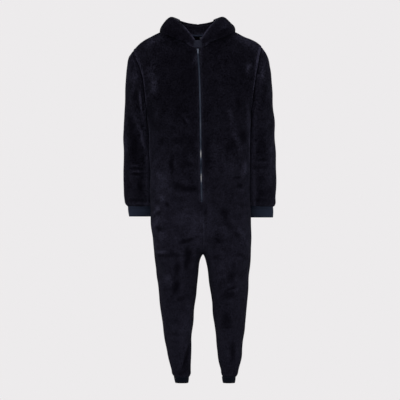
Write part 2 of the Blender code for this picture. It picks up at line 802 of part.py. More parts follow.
def add_neck_tape(pieces):
    """A tape over the seam inside the back of the neck, and a small blank label under it."""
    columns, normals = [], []
    for side, order in (("left", range(NECK_STEPS - 1, -1, -1)), ("right", range(1, NECK_STEPS))):
        back, over = pieces[f"back_{side}"], pieces[f"hood_{side}"]
        back_in, over_in = inner_points(back), inner_points(over)
        last = over.points.shape[1] - 1
        for i in order:
            seam = back_in[0, i]
            below = unit(back_in[1, i] - seam) * NECK_TAPE_HALF
            above = unit(over_in[1, last - i] - over_in[0, last - i]) * NECK_TAPE_HALF
            inward = -back.normals[0, i] * NECK_TAPE_CLEARANCE
            columns.append([seam + above + inward, seam + inward, seam + below + inward])
            normals.append([back.normals[0, i]] * 3)
    grid = np.array(columns).transpose(1, 0, 2)
    normals = np.array(normals).transpose(1, 0, 2)
    add_wall("neck_tape", grid, normals, NECK_TAPE_WALL, material("neck_tape", TAPE_NAVY))
    edge = grid[2] - normals[2] * NECK_TAPE_WALL / 2
    x = np.array([LABEL_X - LABEL_WIDTH / 2, LABEL_X + LABEL_WIDTH / 2])
    top = [(at, np.interp(at, edge[:, 0], edge[:, 1]), 0) for at in x]
    height = np.interp(LABEL_X, edge[:, 0], edge[:, 2]) - LABEL_CLEARANCE
    label = np.array([top, top]) + np.array([[(0, 0, height)], [(0, 0, height - LABEL_HEIGHT)]])
    forward = np.broadcast_to(np.array((0.0, -1.0, 0.0)), label.shape)
    add_wall("neck_label", label, forward, LABEL_THICK, material("neck_label", LABEL_GREY))


def main():
    for existing in list(bpy.data.objects):
        bpy.data.objects.remove(existing, do_unlink=True)
    pieces = cloth_pieces()
    for name, piece in pieces.items():
        look = material(name, CUFF_NAVY.get(name.split("_cuff")[0], PLUSH_NAVY))
        add_wall(name, piece.points, piece.normals, piece.wall, look, piece.ring)
    chain = add_zip(pieces)
    frame = slider_frame(chain)
    add_slider(frame)
    add_pull_tab(frame)
    add_guard(pieces)
    add_neck_tape(pieces)


main()
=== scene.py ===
"""Looks of a hooded one-piece pyjama in plush fleece, with knitted cuffs and a front zip.

Every cloth piece is a surface of two parameters, worked out as whole arrays, then given relief
along its normals and a wall that points inwards. Lengths are in millimetres until a mesh is made.
+Z is up, -Y is the front, and left and right are those of someone who looks at the front.
"""

import bmesh
import bpy
import numpy as np
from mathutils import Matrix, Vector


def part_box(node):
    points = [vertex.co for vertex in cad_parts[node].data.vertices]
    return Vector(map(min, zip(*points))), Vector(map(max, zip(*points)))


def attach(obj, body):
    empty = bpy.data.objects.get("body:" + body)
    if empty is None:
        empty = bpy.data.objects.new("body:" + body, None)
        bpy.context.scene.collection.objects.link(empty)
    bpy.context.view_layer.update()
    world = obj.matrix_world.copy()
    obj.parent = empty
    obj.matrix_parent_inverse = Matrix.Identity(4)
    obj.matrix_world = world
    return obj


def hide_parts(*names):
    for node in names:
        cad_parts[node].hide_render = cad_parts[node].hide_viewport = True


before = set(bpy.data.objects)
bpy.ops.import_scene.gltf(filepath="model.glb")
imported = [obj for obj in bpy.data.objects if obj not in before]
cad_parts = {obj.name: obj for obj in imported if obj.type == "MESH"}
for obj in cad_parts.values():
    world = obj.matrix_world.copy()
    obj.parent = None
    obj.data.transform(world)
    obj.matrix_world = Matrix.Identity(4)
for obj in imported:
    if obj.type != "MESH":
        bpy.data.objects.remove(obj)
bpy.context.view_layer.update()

MM = 0.001
SIDES = {"left": -1, "right": 1}
EYE_DISTANCE = 9000.0
EYE_Z = -676.2

# Cloth and seams
PLUSH_WALL = 3.0
RIB_WALL = 2.4
SEAM_GAP = 0.3
SEAM_SNAP = 0.05

# Heights
UNDERARM_Z = -300
ZIP_END_Z = -676
SLOT_END_Z = -692
RISE_START_Z = -760
CROTCH_Z = -902
ANKLE_Z = -1418
ANKLE_HEM_Z = -1443.5
WRIST_HEM_Z = {"left": -745, "right": -749}

# Neck, shoulder and armhole
NECK_HALF_WIDTH = 98
NECK_SIDE_Z = 45
NECK_TOP_Z = 62
NECK_DROP = {"front": 89, "back": 27}
NECK_COLUMN_DX = {"front": (5, 20, 45, 70, 88, 98), "back": (0, 20, 45, 70, 88, 98)}
SHOULDER_ROUNDING = 110
ARMHOLE_HALF_DEPTH = 54
SLOT_HALF = 5.0

# Centre line: z, x
CENTRE_LINE = ((95, -9), (-46, -9), (-151, -3), (-298, 1), (-466, 3), (-676, 7), (-902, 13))
# Shoulder seam and armhole seam seen from the front: z, x
SHOULDER = {
    "left": ((27, -170), (10, -204), (-6, -234), (-23, -256), (-32, -265), (-48, -279)),
    "right": ((27, 152), (10, 184), (-6, 223), (-15, 239), (-23, 249), (-33, 258)),
}
ARMHOLE = {
    "left": ((-48, -279), (-70, -275), (-113, -256), (-164, -240), (-231, -231), (-300, -224)),
    "right": ((-33, 258), (-60, 252), (-92, 246), (-151, 235), (-239, 222), (-300, 216)),
}
# Side seam: z, left x, right x
SIDE_SEAM = (
    (-300, -224, 216), (-378, -218, 211), (-470, -211, 208), (-605, -208, 208), (-700, -209, 212),
    (-760, -207, 214), (-821, -199, 214), (-872, -194, 212), (-939, -186, 210), (-1006, -180, 206),
    (-1107, -168, 197), (-1174, -159, 192), (-1241, -148, 185), (-1308, -139, 177),
    (-1342, -133, 173), (-1376, -125, 165), (-1401, -118, 157), (-1418, -110, 150),
)
# Inseam without the crotch's rounding: z, left x, right x
INSEAM = (
    (-902, 3, 22), (-972, -5, 32), (-1040, -13, 42), (-1107, -21, 50), (-1174, -29, 58),
    (-1241, -34, 67), (-1308, -38, 75), (-1376, -42, 84), (-1418, -46, 92),
)
CROTCH_ROUNDING = 12
CROTCH_EASE = 0.35
# How far the front and the back stand from the seams' plane: z, front, back, plane's y
DEPTH = (
    (95, 62, 88, 0), (20, 66, 90, 0), (-40, 72, 96, 0), (-100, 94, 106, 0), (-200, 118, 117, 0),
    (-300, 127, 118, 0), (-450, 122, 108, 0), (-600, 125, 124, 0), (-700, 130, 140, 0),
    (-760, 129, 144, 0), (-850, 120, 134, 0), (-902, 108, 119, 0), (-972, 97, 104, 0),
    (-1107, 78, 80, -4), (-1174, 70, 69, -7), (-1241, 62, 64, -4), (-1308, 53, 58, 2),
    (-1376, 43, 46, 5), (-1418, 34, 35, 5),
)
# Sleeve rings: outer z, left x, right x; inner z, left x, right x; half depth; centre's y
SLEEVE_RINGS = (
    (-80, -298, 286, -304, -225, 217, 58, 0), (-120, -306, 293, -311, -225, 217, 62, 8),
    (-180, -312, 300, -326, -222, 215, 65, 20), (-250, -316, 307, -352, -217, 211, 66, 33),
    (-320, -319, 312, -396, -210, 206, 65, 44), (-400, -322, 316, -450, -205, 203, 63, 52),
    (-480, -323, 318, -506, -200, 199, 61, 56), (-560, -322, 321, -570, -198, 198, 59, 58),
    (-630, -321, 322, -634, -197, 200, 55, 60), (-663, -319, 318, -665, -198, 203, 49, 60),
    (-690, -313, 313, -690, -200, 207, 36, 60), (-703, -305, 309, -703, -203, 210, 25, 60),
)
BOW_FADE = (0.55, 0.2)
# Cuff hems: outer x, inner x; and half depths
WRIST_HEM = {"left": (-300, -205), "right": (309, 213)}
WRIST_HALF_DEPTH = 22
ANKLE_HEM = {"left": (-104, -49), "right": (147, 96)}
ANKLE_HALF_DEPTH = 29
# Hood: station round the neck, then crest, slope, bottom, bulge, outside, fold and rim, each as
# its distance from the centre line, its y and its z
HOOD_SECTIONS = (
    (0.0, (20, -72, -34), (19, -73, -28), (19, -73, -23), (18, -74, -18), (16, -74, -13),
     (14, -73, -9), (12, -71, -6)),
    (1.6, (62, -66, -4), (68, -71, -8), (75, -75, -8), (80, -78, 0), (77, -75, 21),
     (66, -64, 42), (51, -56, 43)),
    (3.0, (97, -36, 42), (116, -44, 30), (133, -50, 19), (145, -50, 23), (141, -42, 52),
     (113, -28, 86), (82, -24, 74)),
    (4.0, (107, 0, 61), (127, 2, 53), (145, 4, 41), (157, 6, 38), (148, 8, 58),
     (113, 10, 93), (77, 14, 81)),
    (5.0, (101, 34, 65), (124, 52, 40), (142, 66, 12), (154, 76, 14), (145, 62, 57),
     (112, 40, 91), (76, 46, 80)),
    (6.6, (72, 66, 66), (94, 92, 4), (106, 110, -70), (120, 134, -70), (120, 138, 0),
     (96, 94, 82), (64, 84, 75)),
    (9.0, (0, 88, 56), (0, 108, -40), (0, 124, -126), (0, 148, -128), (0, 160, -40),
     (0, 132, 64), (0, 119, 62)),
)
HOOD_POINTS = 7
HOOD_STATIONS = 9
FOLD_POINT = 5
RIGHT_FOLD_SHIFT = -10

# Sampling: shares across a half panel run from 0 at the centre to 10 at the side
PANEL_SHARES = np.concatenate([np.linspace(0, 1, 14, endpoint=False), np.linspace(1, 10, 73)])
NECK_SHARE = 5
SIDE_SHARE = 10
ARM_TURNS = 72
# Rows of the panels below the underarm, close together at the zip's end and round the crotch
LOWER_Z = np.concatenate(
    [
        np.linspace(UNDERARM_Z, ZIP_END_Z, 82, endpoint=False)[1:],
        np.linspace(ZIP_END_Z, SLOT_END_Z, 5, endpoint=False),
        np.linspace(SLOT_END_Z, -870, 39, endpoint=False),
        np.linspace(-870, -916, 22, endpoint=False),
        np.linspace(-916, -1390, 104, endpoint=False),
        np.linspace(-1390, ANKLE_Z, 9),
    ]
)
SLEEVE_ROWS = 190
HOOD_ROWS = 113
WRIST_ROWS = 20
ANKLE_ROWS = 13
LIP_STEPS = 3
SHELL_SHARP, STRIP_SHARP = np.radians(70), np.radians(50)
BAR_SHARES = (0.0, 0.08, 0.3, 0.7, 0.92, 1.0)
# In metres: points this near are one, and shorter edges go
WELD = 1e-6
SLIVER = 1e-7


# ---------------------------------------------------------------- curves and small helpers


def hermite(keys, values, at):
    """Smooth curve through values at keys: cubics that share their neighbours' mean slopes."""
    keys, values = np.asarray(keys, float), np.asarray(values, float)
    slopes = np.gradient(values, keys, axis=0)
    at = np.clip(at, keys[0], keys[-1])
    i = np.clip(np.searchsorted(keys, at) - 1, 0, len(keys) - 2)
    shape = np.shape(at) + (1,) * (values.ndim - 1)
    span = (keys[i + 1] - keys[i]).reshape(shape)
    t = (at - keys[i]).reshape(shape) / span
    return (
        values[i] * (1 + 2 * t) * (1 - t) ** 2
        + values[i + 1] * t * t * (3 - 2 * t)
        + span * (slopes[i] * t * (1 - t) ** 2 - slopes[i + 1] * t * t * (1 - t))
    )


def through(rows, at, column=1):
    """Smooth curve through one column of a table whose first column is its key."""
    table = np.array(sorted(rows), float)
    return hermite(table[:, 0], table[:, column], at)


def unit(vectors):
    return vectors / np.maximum(np.linalg.norm(vectors, axis=-1, keepdims=True), 1e-9)


def fade(value, low, high):
    """0 below low, 1 above high and a smooth step between; low may be the larger one."""
    t = np.clip((value - low) / (high - low), 0, 1)
    return t * t * (3 - 2 * t)


def bump(distance, wide):
    """A bell of height 1 with that half width."""
    return np.exp(-((distance / wide) ** 2))


def signed_power(value, power):
    """A power that keeps its value's sign."""
    return np.sign(value) * abs(value) ** power


def whole_turn(steps):
    """Equal turns all round."""
    return np.arange(steps) * 2 * np.pi / steps


def run_lengths(points, axis):
    """Length along a grid's lines from their first point."""
    steps = np.linalg.norm(np.diff(points, axis=axis), axis=2)
    start = np.zeros_like(np.take(steps, [0], axis=axis))
    return np.concatenate([start, np.cumsum(steps, axis=axis)], axis=axis)


def centre_x(z):
    return through(CENTRE_LINE, z)


def facing(face):
    return -1 if face == "front" else 1


def side_column(side):
    return 1 if side == "left" else 2


# ---------------------------------------------------------------- forms of the cut pieces


def shoulder_height(side, dx):
    """Top edge's height: a parabola over the neck, then the shoulder table."""
    rows = [(NECK_HALF_WIDTH, NECK_SIDE_Z)]
    rows += [(abs(x - centre_x(z)), z) for z, x in SHOULDER[side]]
    over_neck = NECK_TOP_Z - (NECK_TOP_Z - NECK_SIDE_Z) * (dx / NECK_HALF_WIDTH) ** 2
    return np.where(dx <= NECK_HALF_WIDTH, over_neck, through(rows, dx))


def armhole_line(side, turns):
    """Armhole seam: height falls with the cosine of the turn, y swings with its sine."""
    top, low = ARMHOLE[side][0][0], UNDERARM_Z
    z = (top + low) / 2 + (top - low) / 2 * np.cos(turns)
    return np.stack([through(ARMHOLE[side], z), -ARMHOLE_HALF_DEPTH * np.sin(turns), z], axis=1)


def arm_turns():
    """Turns from the shoulder to the underarm, spaced between even angles and even heights."""
    t = np.linspace(0, 1, ARM_TURNS + 1)
    return (np.pi * t + np.arccos(1 - 2 * t)) / 2


def upper_panel(side, face):
    """Above the underarm: columns fan from the neck and shoulder to the chest.

    At a height, y is the root of body depth and armhole depth, mixed by the share of the way to
    the armhole, and the body rounds over towards the shoulder as a quarter circle.
    """
    s, shares = SIDES[side], PANEL_SHARES
    arm = armhole_line(side, arm_turns())
    arm_x, opening, arm_z = arm[:, 0:1], -arm[:, 1:2], arm[:, 2:3]
    tip_dx = abs(arm_x[0, 0] - centre_x(arm_z[0, 0]))
    under_dx = abs(arm_x[-1, 0] - centre_x(UNDERARM_Z))
    fall = (arm_z[0] - arm_z) / (arm_z[0] - UNDERARM_Z)
    edge_dx = s * (arm_x - centre_x(arm_z))
    bow = edge_dx - (tip_dx + (under_dx - tip_dx) * fall)
    on_neck = shares <= NECK_SHARE
    neck_dx = np.interp(shares, np.arange(len(NECK_COLUMN_DX[face])), NECK_COLUMN_DX[face])
    outwards = (shares - NECK_SHARE) / (SIDE_SHARE - NECK_SHARE)
    top_dx = np.where(on_neck, neck_dx, NECK_HALF_WIDTH + (tip_dx - NECK_HALF_WIDTH) * outwards)
    neck_z = NECK_SIDE_Z - NECK_DROP[face] * (1 - (top_dx / NECK_HALF_WIDTH) ** 2)
    top_z = np.where(on_neck, neck_z, shoulder_height(side, top_dx))
    low_dx = under_dx * np.sin(np.pi / 2 * shares / SIDE_SHARE)
    low_dx += slot_half(face, UNDERARM_Z) * np.clip(1 - shares, 0, 1)
    dx = top_dx + (low_dx - top_dx) * fall + bow * (shares / SIDE_SHARE) ** 3
    z = top_z + (UNDERARM_Z - top_z) * fall
    share = np.clip(dx / edge_dx, 0, 1)
    above = np.clip((shoulder_height(side, dx) - z) / SHOULDER_ROUNDING, 0, 1)
    rounding = np.sqrt(1 - (1 - above) ** 2)
    body = through(DEPTH, z, 1 if face == "front" else 2) * rounding
    out = np.sqrt(body**2 * (1 - share**2) + opening**2 * share**2)
    return np.stack([centre_x(z) + s * dx, facing(face) * out, z], axis=2)


def slot_half(face, z):
    """Half the gap that the fronts leave for the zip."""
    z = np.asarray(z, float)
    if face == "back":
        return z * 0
    return SLOT_HALF * np.clip((z - SLOT_END_Z) / (ZIP_END_Z - SLOT_END_Z), 0, 1)


def leg_turn(z):
    """How far a row has turned from a flat half ellipse into a leg's full one."""
    t = np.clip((RISE_START_Z - z) / (RISE_START_Z - CROTCH_Z), 0, 1)
    return np.arcsin(np.clip(CROTCH_EASE * t * (1 - t) * (1 - 2 * t) + t * t * (3 - 2 * t), 0, 1))


def lower_panel(side, face):
    """Below the underarm: each row is part of an ellipse that starts further round on the leg.

    On the leg the ellipse starts at the inseam, and a cube of the way inwards draws it to the
    seam's rounded line at the crotch.
    """
    s, z = SIDES[side], LOWER_Z[:, None]
    turn = leg_turn(z)
    outer = through(SIDE_SEAM, z, side_column(side))
    line = through(INSEAM, z, side_column(side))
    at_crotch = through(INSEAM, CROTCH_Z, side_column(side)) - centre_x(CROTCH_Z)
    rounded = line - at_crotch * np.exp(np.minimum(z - CROTCH_Z, 0) / CROTCH_ROUNDING)
    on_leg = z < CROTCH_Z
    inner = np.where(on_leg, line, centre_x(z) + at_crotch * np.sin(turn) ** 2)
    seam = np.where(on_leg, rounded, centre_x(z))
    half = abs(outer - inner) / (1 + np.sin(turn))
    angle = -turn + (np.pi / 2 + turn) * PANEL_SHARES / SIDE_SHARE
    inwards = (1 - np.sin(angle)) / (1 + np.sin(turn))
    x = outer - s * half + s * half * np.sin(angle) + (seam - inner) * inwards**3
    x = x + s * slot_half(face, z) * np.clip(1 - PANEL_SHARES, 0, 1)
    depth = through(DEPTH, z, 1 if face == "front" else 2)
    y = through(DEPTH, z, 3) + facing(face) * depth * np.cos(angle)
    return np.stack([x, y, np.broadcast_to(z, x.shape)], axis=2)


def panel_form(side, face):
    return np.concatenate([upper_panel(side, face), lower_panel(side, face)])


def ring_turns():
    """Turns all round a sleeve: down its front and up its back."""
    down = arm_turns()
    return np.concatenate([down, 2 * np.pi - down[-2:0:-1]])


def sleeve_form(side):
    """Smooth tube through leaning ellipses, from the armhole seam to the wrist."""
    turns = ring_turns()
    arm = armhole_line(side, turns)
    top, low = arm[0], arm[ARM_TURNS]
    chord = (top + low) / 2 + np.outer(np.cos(turns), (top - low) / 2)
    bow = arm[:, 0] - chord[:, 0]
    rings = [arm]
    for k, row in enumerate(SLEEVE_RINGS):
        outer = np.array((row[side_column(side)], row[7], row[0]), float)
        inner = np.array((row[3 + side_column(side)], row[7], row[3]), float)
        ring = (outer + inner) / 2 + np.outer(np.cos(turns), (outer - inner) / 2)
        ring[:, 1] -= row[6] * np.sin(turns)
        if k < len(BOW_FADE):
            ring[:, 0] += bow * BOW_FADE[k]
        rings.append(ring)
    rings = np.array(rings)
    steps = np.linalg.norm(np.diff(rings, axis=0), axis=2).mean(axis=1)
    keys = np.concatenate([[0], np.cumsum(steps)])
    return hermite(keys, rings, np.linspace(0, keys[-1], SLEEVE_ROWS))


def cuff_form(top, turns, hem_x, hem_y, hem_half, hem_z, rows):
    """Straight rows from a ring down to a level oval hem."""
    outer, inner = hem_x
    x = (outer + inner) / 2 + (outer - inner) / 2 * np.cos(turns)
    y = hem_y - hem_half * np.sin(turns)
    hem = np.stack([x, y, np.full(len(turns), float(hem_z))], axis=1)
    t = np.linspace(0, 1, rows)[:, None, None]
    return top * (1 - t) + hem * t


def ankle_ring(front, back):
    """The lower edges of a leg's front and back as one ring, with the turn of each point."""
    ring = np.concatenate([front[-1][::-1], back[-1][1:-1]])
    down = np.pi * (1 - PANEL_SHARES[::-1] / SIDE_SHARE)
    up = np.pi * (1 + PANEL_SHARES[1:-1] / SIDE_SHARE)
    return ring, np.concatenate([down, up])


def hood_form(side, front, back):
    """Smooth sections round the neck; each runs from the seam over the pouch to the rim."""
    outer = PANEL_SHARES[(PANEL_SHARES >= 1) & (PANEL_SHARES <= NECK_SHARE)]
    rear = PANEL_SHARES[PANEL_SHARES < NECK_SHARE][::-1]
    first, count = np.searchsorted(PANEL_SHARES, 1), len(outer)
    seam = np.concatenate([front[0, first : first + count], back[0, : len(rear)][::-1]])
    stations = np.concatenate([outer - 1, HOOD_STATIONS - rear])
    keys = [section[0] for section in HOOD_SECTIONS]
    guides = np.array([section[1:] for section in HOOD_SECTIONS], float)
    mirrored = guides[-2] * (-1, 1, 1)
    keys = np.array(keys + [2 * keys[-1] - keys[-2]])
    guides = hermite(keys, np.concatenate([guides, mirrored[None]]), stations)
    if side == "right":
        shift = RIGHT_FOLD_SHIFT * np.sin(np.pi * stations / HOOD_STATIONS)
        guides[:, FOLD_POINT:, 0] += shift[:, None]
    x = centre_x(guides[..., 2]) + SIDES[side] * guides[..., 0]
    points = np.stack([x, guides[..., 1], guides[..., 2]], axis=2)
    points = np.concatenate([seam[:, None], points], axis=1).transpose(1, 0, 2)
    at = np.linspace(0, HOOD_POINTS, HOOD_ROWS)
    return hermite(np.arange(HOOD_POINTS + 1), points, at), stations


# ---------------------------------------------------------------- pieces and their seams


class Cloth:
    """A named grid of points on a piece's outer face, with its normals and distances."""

    def __init__(self, name, family, points, outward, wall, ring=False):
        self.name, self.family, self.ring = name, family, ring
        self.points, self.wall, self.outward = points, wall, outward
        if ring:
            across = (np.roll(points, -1, axis=1) - np.roll(points, 1, axis=1)) / 2
        else:
            across = np.gradient(points, axis=1)
        self.normals = unit(np.cross(across, np.gradient(points, axis=0))) * outward
        self.from_top = run_lengths(points, 0)
        self.to_end = self.from_top[-1:] - self.from_top
        self.across = run_lengths(points, 1)
        self.to_last = self.across[:, -1:] - self.across
        self.form = np.zeros(points.shape[:2])
        self.surface = np.zeros(points.shape[:2])
        # Lay of the pile, with painted light and painted shade
        self.nap_and_painted_light = np.zeros(points.shape[:2])

    def outer(self):
        """The face with all its relief."""
        return self.points + self.normals * (self.form + self.surface)[..., None]

    def border(self):
        """True on the rows and columns that are the piece's edge."""
        edge = np.zeros(self.points.shape[:2], bool)
        edge[[0, -1]] = True
        if not self.ring:
            edge[:, [0, -1]] = True
        return edge

    def away(self):
        """At the border, the direction that leads out of the cloth along its face."""
        out, points = np.zeros_like(self.points), self.points
        out[0] += unit(points[0] - points[1])
        out[-1] += unit(points[-1] - points[-2])
        if not self.ring:
            out[:, 0] += unit(points[:, 0] - points[:, 1])
            out[:, -1] += unit(points[:, -1] - points[:, -2])
        along = (out * self.normals).sum(axis=2, keepdims=True)
        return unit(out - self.normals * along)


def join_seams(pieces):
    """Gives border points that meet one shared normal, so that sewn edges stay together."""
    places = np.concatenate([p.points[p.border()] for p in pieces])
    normals = np.concatenate([p.normals[p.border()] for p in pieces])
    families = sorted({p.family for p in pieces})
    family = np.concatenate([np.full(p.border().sum(), families.index(p.family)) for p in pieces])
    _, group, size = np.unique(
        np.round(places / SEAM_SNAP), axis=0, return_inverse=True, return_counts=True
    )
    group = group.ravel()
    total = np.zeros((len(size), 3))
    for k in range(len(families)):
        part = np.zeros((len(size), 3))
        np.add.at(part, group[family == k], normals[family == k])
        total += part / np.maximum(np.linalg.norm(part, axis=1, keepdims=True), 1e-9)
    shared, met = unit(total)[group], (size > 1)[group]
    start = 0
    for piece in pieces:
        edge = piece.border()
        run = slice(start, start + edge.sum())
        start += edge.sum()
        piece.seamed = np.zeros(edge.shape, bool)
        piece.seamed[edge] = met[run]
        own = piece.normals[edge]
        piece.normals[edge] = np.where(met[run, None], shared[run], own)


# ---------------------------------------------------------------- relief

# Sine waves that make the cloth's slack: amplitude, then turns per metre along x, y and z
SLACK = (
    (0.9, 5.1, 2.0, 3.3), (0.8, -3.7, 4.1, 5.9), (0.7, 7.9, -3.1, -2.3), (0.55, 4.3, 6.7, -8.1),
    (0.45, -9.7, 5.3, 6.1), (0.4, 12.1, 7.3, 9.1), (0.3, -14.3, 10.9, -7.7),
)

# Sine waves that shift the patches of pile and of painted light: reach, turns per metre along x and
# z, and phase
WANDER = (
    (4.0, 9.0, 13.0, 0.4), (3.2, -19.0, 16.0, 2.1), (2.6, 31.0, -27.0, 4.0), (2.0, 53.0, 61.0, 1.0),
)
BODY_SLACK, SLEEVE_SLACK, HOOD_SLACK = 1.25, 1.1, 0.9
# Painted shade in crease troughs and painted light on their banks, per millimetre of relief
CREASE_PAINTED_LIGHT_AND_SHADE = 0.10
# The banks beside a crease: height as a share of its depth, place and half width in its widths
BANK_HEIGHT, BANK_AT, BANK_WIDE = 0.42, 1.9, 0.9
# Strength of the patches of pile and of painted light and shade
PILE_AND_PAINTED_LIGHT_TONE = 0.95
PILE_HEIGHT = 1.0
WIDE_PATCH = 14.0
# Inner faces' tone, set as painted light where they lie in shade inside the garment
INNER_PAINTED_LIGHT = 0.15

# Grooves along seams: depth, width on each side
SIDE_GROOVE, CENTRE_GROOVE, TOP_GROOVE, ANKLE_GROOVE = (1.6, 7), (1.0, 6), (1.8, 7), (1.6, 7)
ARMHOLE_GROOVE, WRIST_GROOVE = (2.2, 9), (1.4, 6)
HOOD_NECK_GROOVE, HOOD_BACK_GROOVE = (1.6, 7), (1.8, 7)

# Bands along edges, raised or sunk, or painted lighter or darker as painted highlights and painted
# shade: strength, distance from the edge, half width
ARMHOLE_LIP = (1.1, 6, 3.5)
ZIP_LIP, ZIP_TOPSTITCH, ZIP_LIGHT = (0.7, 2.0, 2.5), (0.9, 7.5, 1.7), (0.45, 1, 5)
ANKLE_SWELL, WRIST_SWELL = (1.6, 15, 8), (1.3, 17, 10)
LEG_SHADE, CROTCH_LINE, CROTCH_LIGHT = (0.45, 0, 28), (0.4, 5, 5), (0.35, 0, 22)
ARMHOLE_SHADE = {"left": (0.4, 2, 8), "right": (0.8, 2, 5)}
RIM_TOPSTITCH, RIM_LIGHT = (0.7, 16, 2.2), (1.15, 2, 7)
FRONT_END_LIGHT, HOOD_SEAM_SHADE = (0.35, 0, 5), (0.1, 0, 6)
CUFF_RIM, CUFF_RIM_LIGHT = (0.5, 2.4, 1.4), (0.45, 2.2, 2.2)
CUFF_DIP, CUFF_DIP_SHADE = (0.5, 5.2, 1.2), (0.35, 7.0, 2.4)
RIM_HEM_RISE, RIM_HEM = 0.9, (17, 13)

# Puckers over the cuffs: height and number; where they begin and end, and how they lean
ANKLE_GATHERS, WRIST_GATHERS = (1.3, 13), (1.5, 15)
GATHERS_BEGIN, GATHERS_END, GATHERS_LEAN = (0, 7), (46, 12), 0.02

# Fades by distance from an edge: none at the first, full at the second
ZIP_CALM, TOP_CALM, SIDE_CALM, SIDE_PAINTED_SHEEN = (34, 12), (4, 40), (26, 0), (60, 0)
SLEEVE_CALM = (4, 50)
# Creases fade in from a panel's side, top, ankle and centre, and from a sleeve's two ends
FREE_SIDE, FREE_TOP, FREE_ANKLE, FREE_CENTRE = (0, 22), (0, 22), (0, 14), (0, 16)
FREE_ARMHOLE, FREE_WRIST = (0, 26), (0, 16)
# On the hood they fade in from its neck seam, its rim and its centre back
FREE_NECK, FREE_RIM, FREE_BACK = (2, 20), (6, 30), (0, 16)
# The rim's hem comes in as the hood deepens
ROOMY_HOOD = (60, 200)

# Fades by height: none at the first z, full at the second
ZIP_BEGINS = (SLOT_END_Z - 8, ZIP_END_Z)
CALM_UNDER_ARM = (UNDERARM_Z - 60, UNDERARM_Z)
GROOVE_DEEPENS = (-360, -480)
LEGS = (-560, -760)
INNER_ARM_Z = (-230, -340)
# The painted highlight on the ridge beside the armhole seam widens, brightens, dims and ends
RIDGE_AT_SHOULDER, RIDGE_UNDER_ARM = (-180, -110), (-300, -345)
RIDGE_BRIGHTENS, RIDGE_DIMS, RIDGE_ENDS = (-345, -320), (-110, -150), (-620, -420)
# How wide the ridge is, and what the shoulder and the underarm add to that
RIDGE_WIDE, RIDGE_SHOULDER_ADDS, RIDGE_ARM_ADDS = 7, 5, 15
# Where its middle lies and how far it reaches, as shares of its width
RIDGE_AT, RIDGE_REACH = 0.6, 0.7
# How bright it is at the back, and where it is dimmest on the left
BACK_RIDGE, LEFT_RIDGE = 0.6, 0.75
# The side groove's depth under the arm, as a share of its depth further down
SHALLOW_GROOVE = 0.3
# Painted sheen that lightens the body towards its side seams, fading out down into the legs
SIDE_PAINTED_SHEEN_TONE = 0.12
# Painted shade on the legs' sides, and a painted highlight down to the crotch, fainter on the left
OUTER_LEG_Z, INNER_LEG_Z = (-780, -900), (-905, -950)
CROTCH_LINE_LEFT = 0.1
CROTCH_LINE_Z, CROTCH_LINE_ENDS = (-690, -760), (-900, -870)
CROTCH_LIGHT_Z, CROTCH_LIGHT_ENDS = (-840, -885), (-940, -905)

# Fades round a sleeve, by the cosine of the turn, which is 1 at its outer side
UNDER_ARM, INNER_ARM, OUTER_ARM = (0.6, 0.95), (0.2, 0.75), (0.72, 1.0)
# Painted light on the inner arm, which lies in shade by the body, and a painted highlight on the
# outer arm
INNER_ARM_LIGHT, OUTER_ARM_LIGHT = 1.05, 0.12
# What the inner arm's light keeps at its back, and what the armhole's groove loses under the arm
INNER_ARM_BACK = 0.25
UNDER_ARM_EASE = 0.85
# The same by the sine of the turn, which is 1 at its front
SLEEVE_FRONT = (-0.25, 0.25)
WRIST_INNER_LIGHT, WRIST_INNER = 0.5, (0.5, 0.95)
# Stations of the hood where its front passes into its rear, and where slack and creases come in
HOOD_REAR = (4.2, 5.4)
HOOD_SLACK_FROM, HOOD_CREASES_FROM = (0.4, 2.5), (0.2, 1.2)
# Inside the hood, painted light low down and painted shade high up: strength, fade by height
HOOD_INSIDE_LIGHT, HOOD_INSIDE_LOW = 0.4, (36, 26)
HOOD_INSIDE_SHADE, HOOD_INSIDE_HIGH = 0.5, (36, 52)

# How light the plush is from the neck down to the ankles, darker at the neck and chest and lighter
# on the legs, as a power of five: z, tone
BODY_TONE = (
    (95, -0.40), (0, -0.36), (-120, -0.38), (-280, -0.28), (-420, -0.12), (-560, -0.02),
    (-660, 0.07), (-780, 0.16), (-880, 0.14), (-1000, 0.14), (-1150, 0.20), (-1300, 0.22),
    (-1418, 0.12),
)
SLEEVE_TONE = (
    (0, -0.02), (-200, -0.04), (-380, -0.06), (-520, -0.08), (-640, -0.05), (-703, -0.05),
)
HOOD_TONE = -0.46

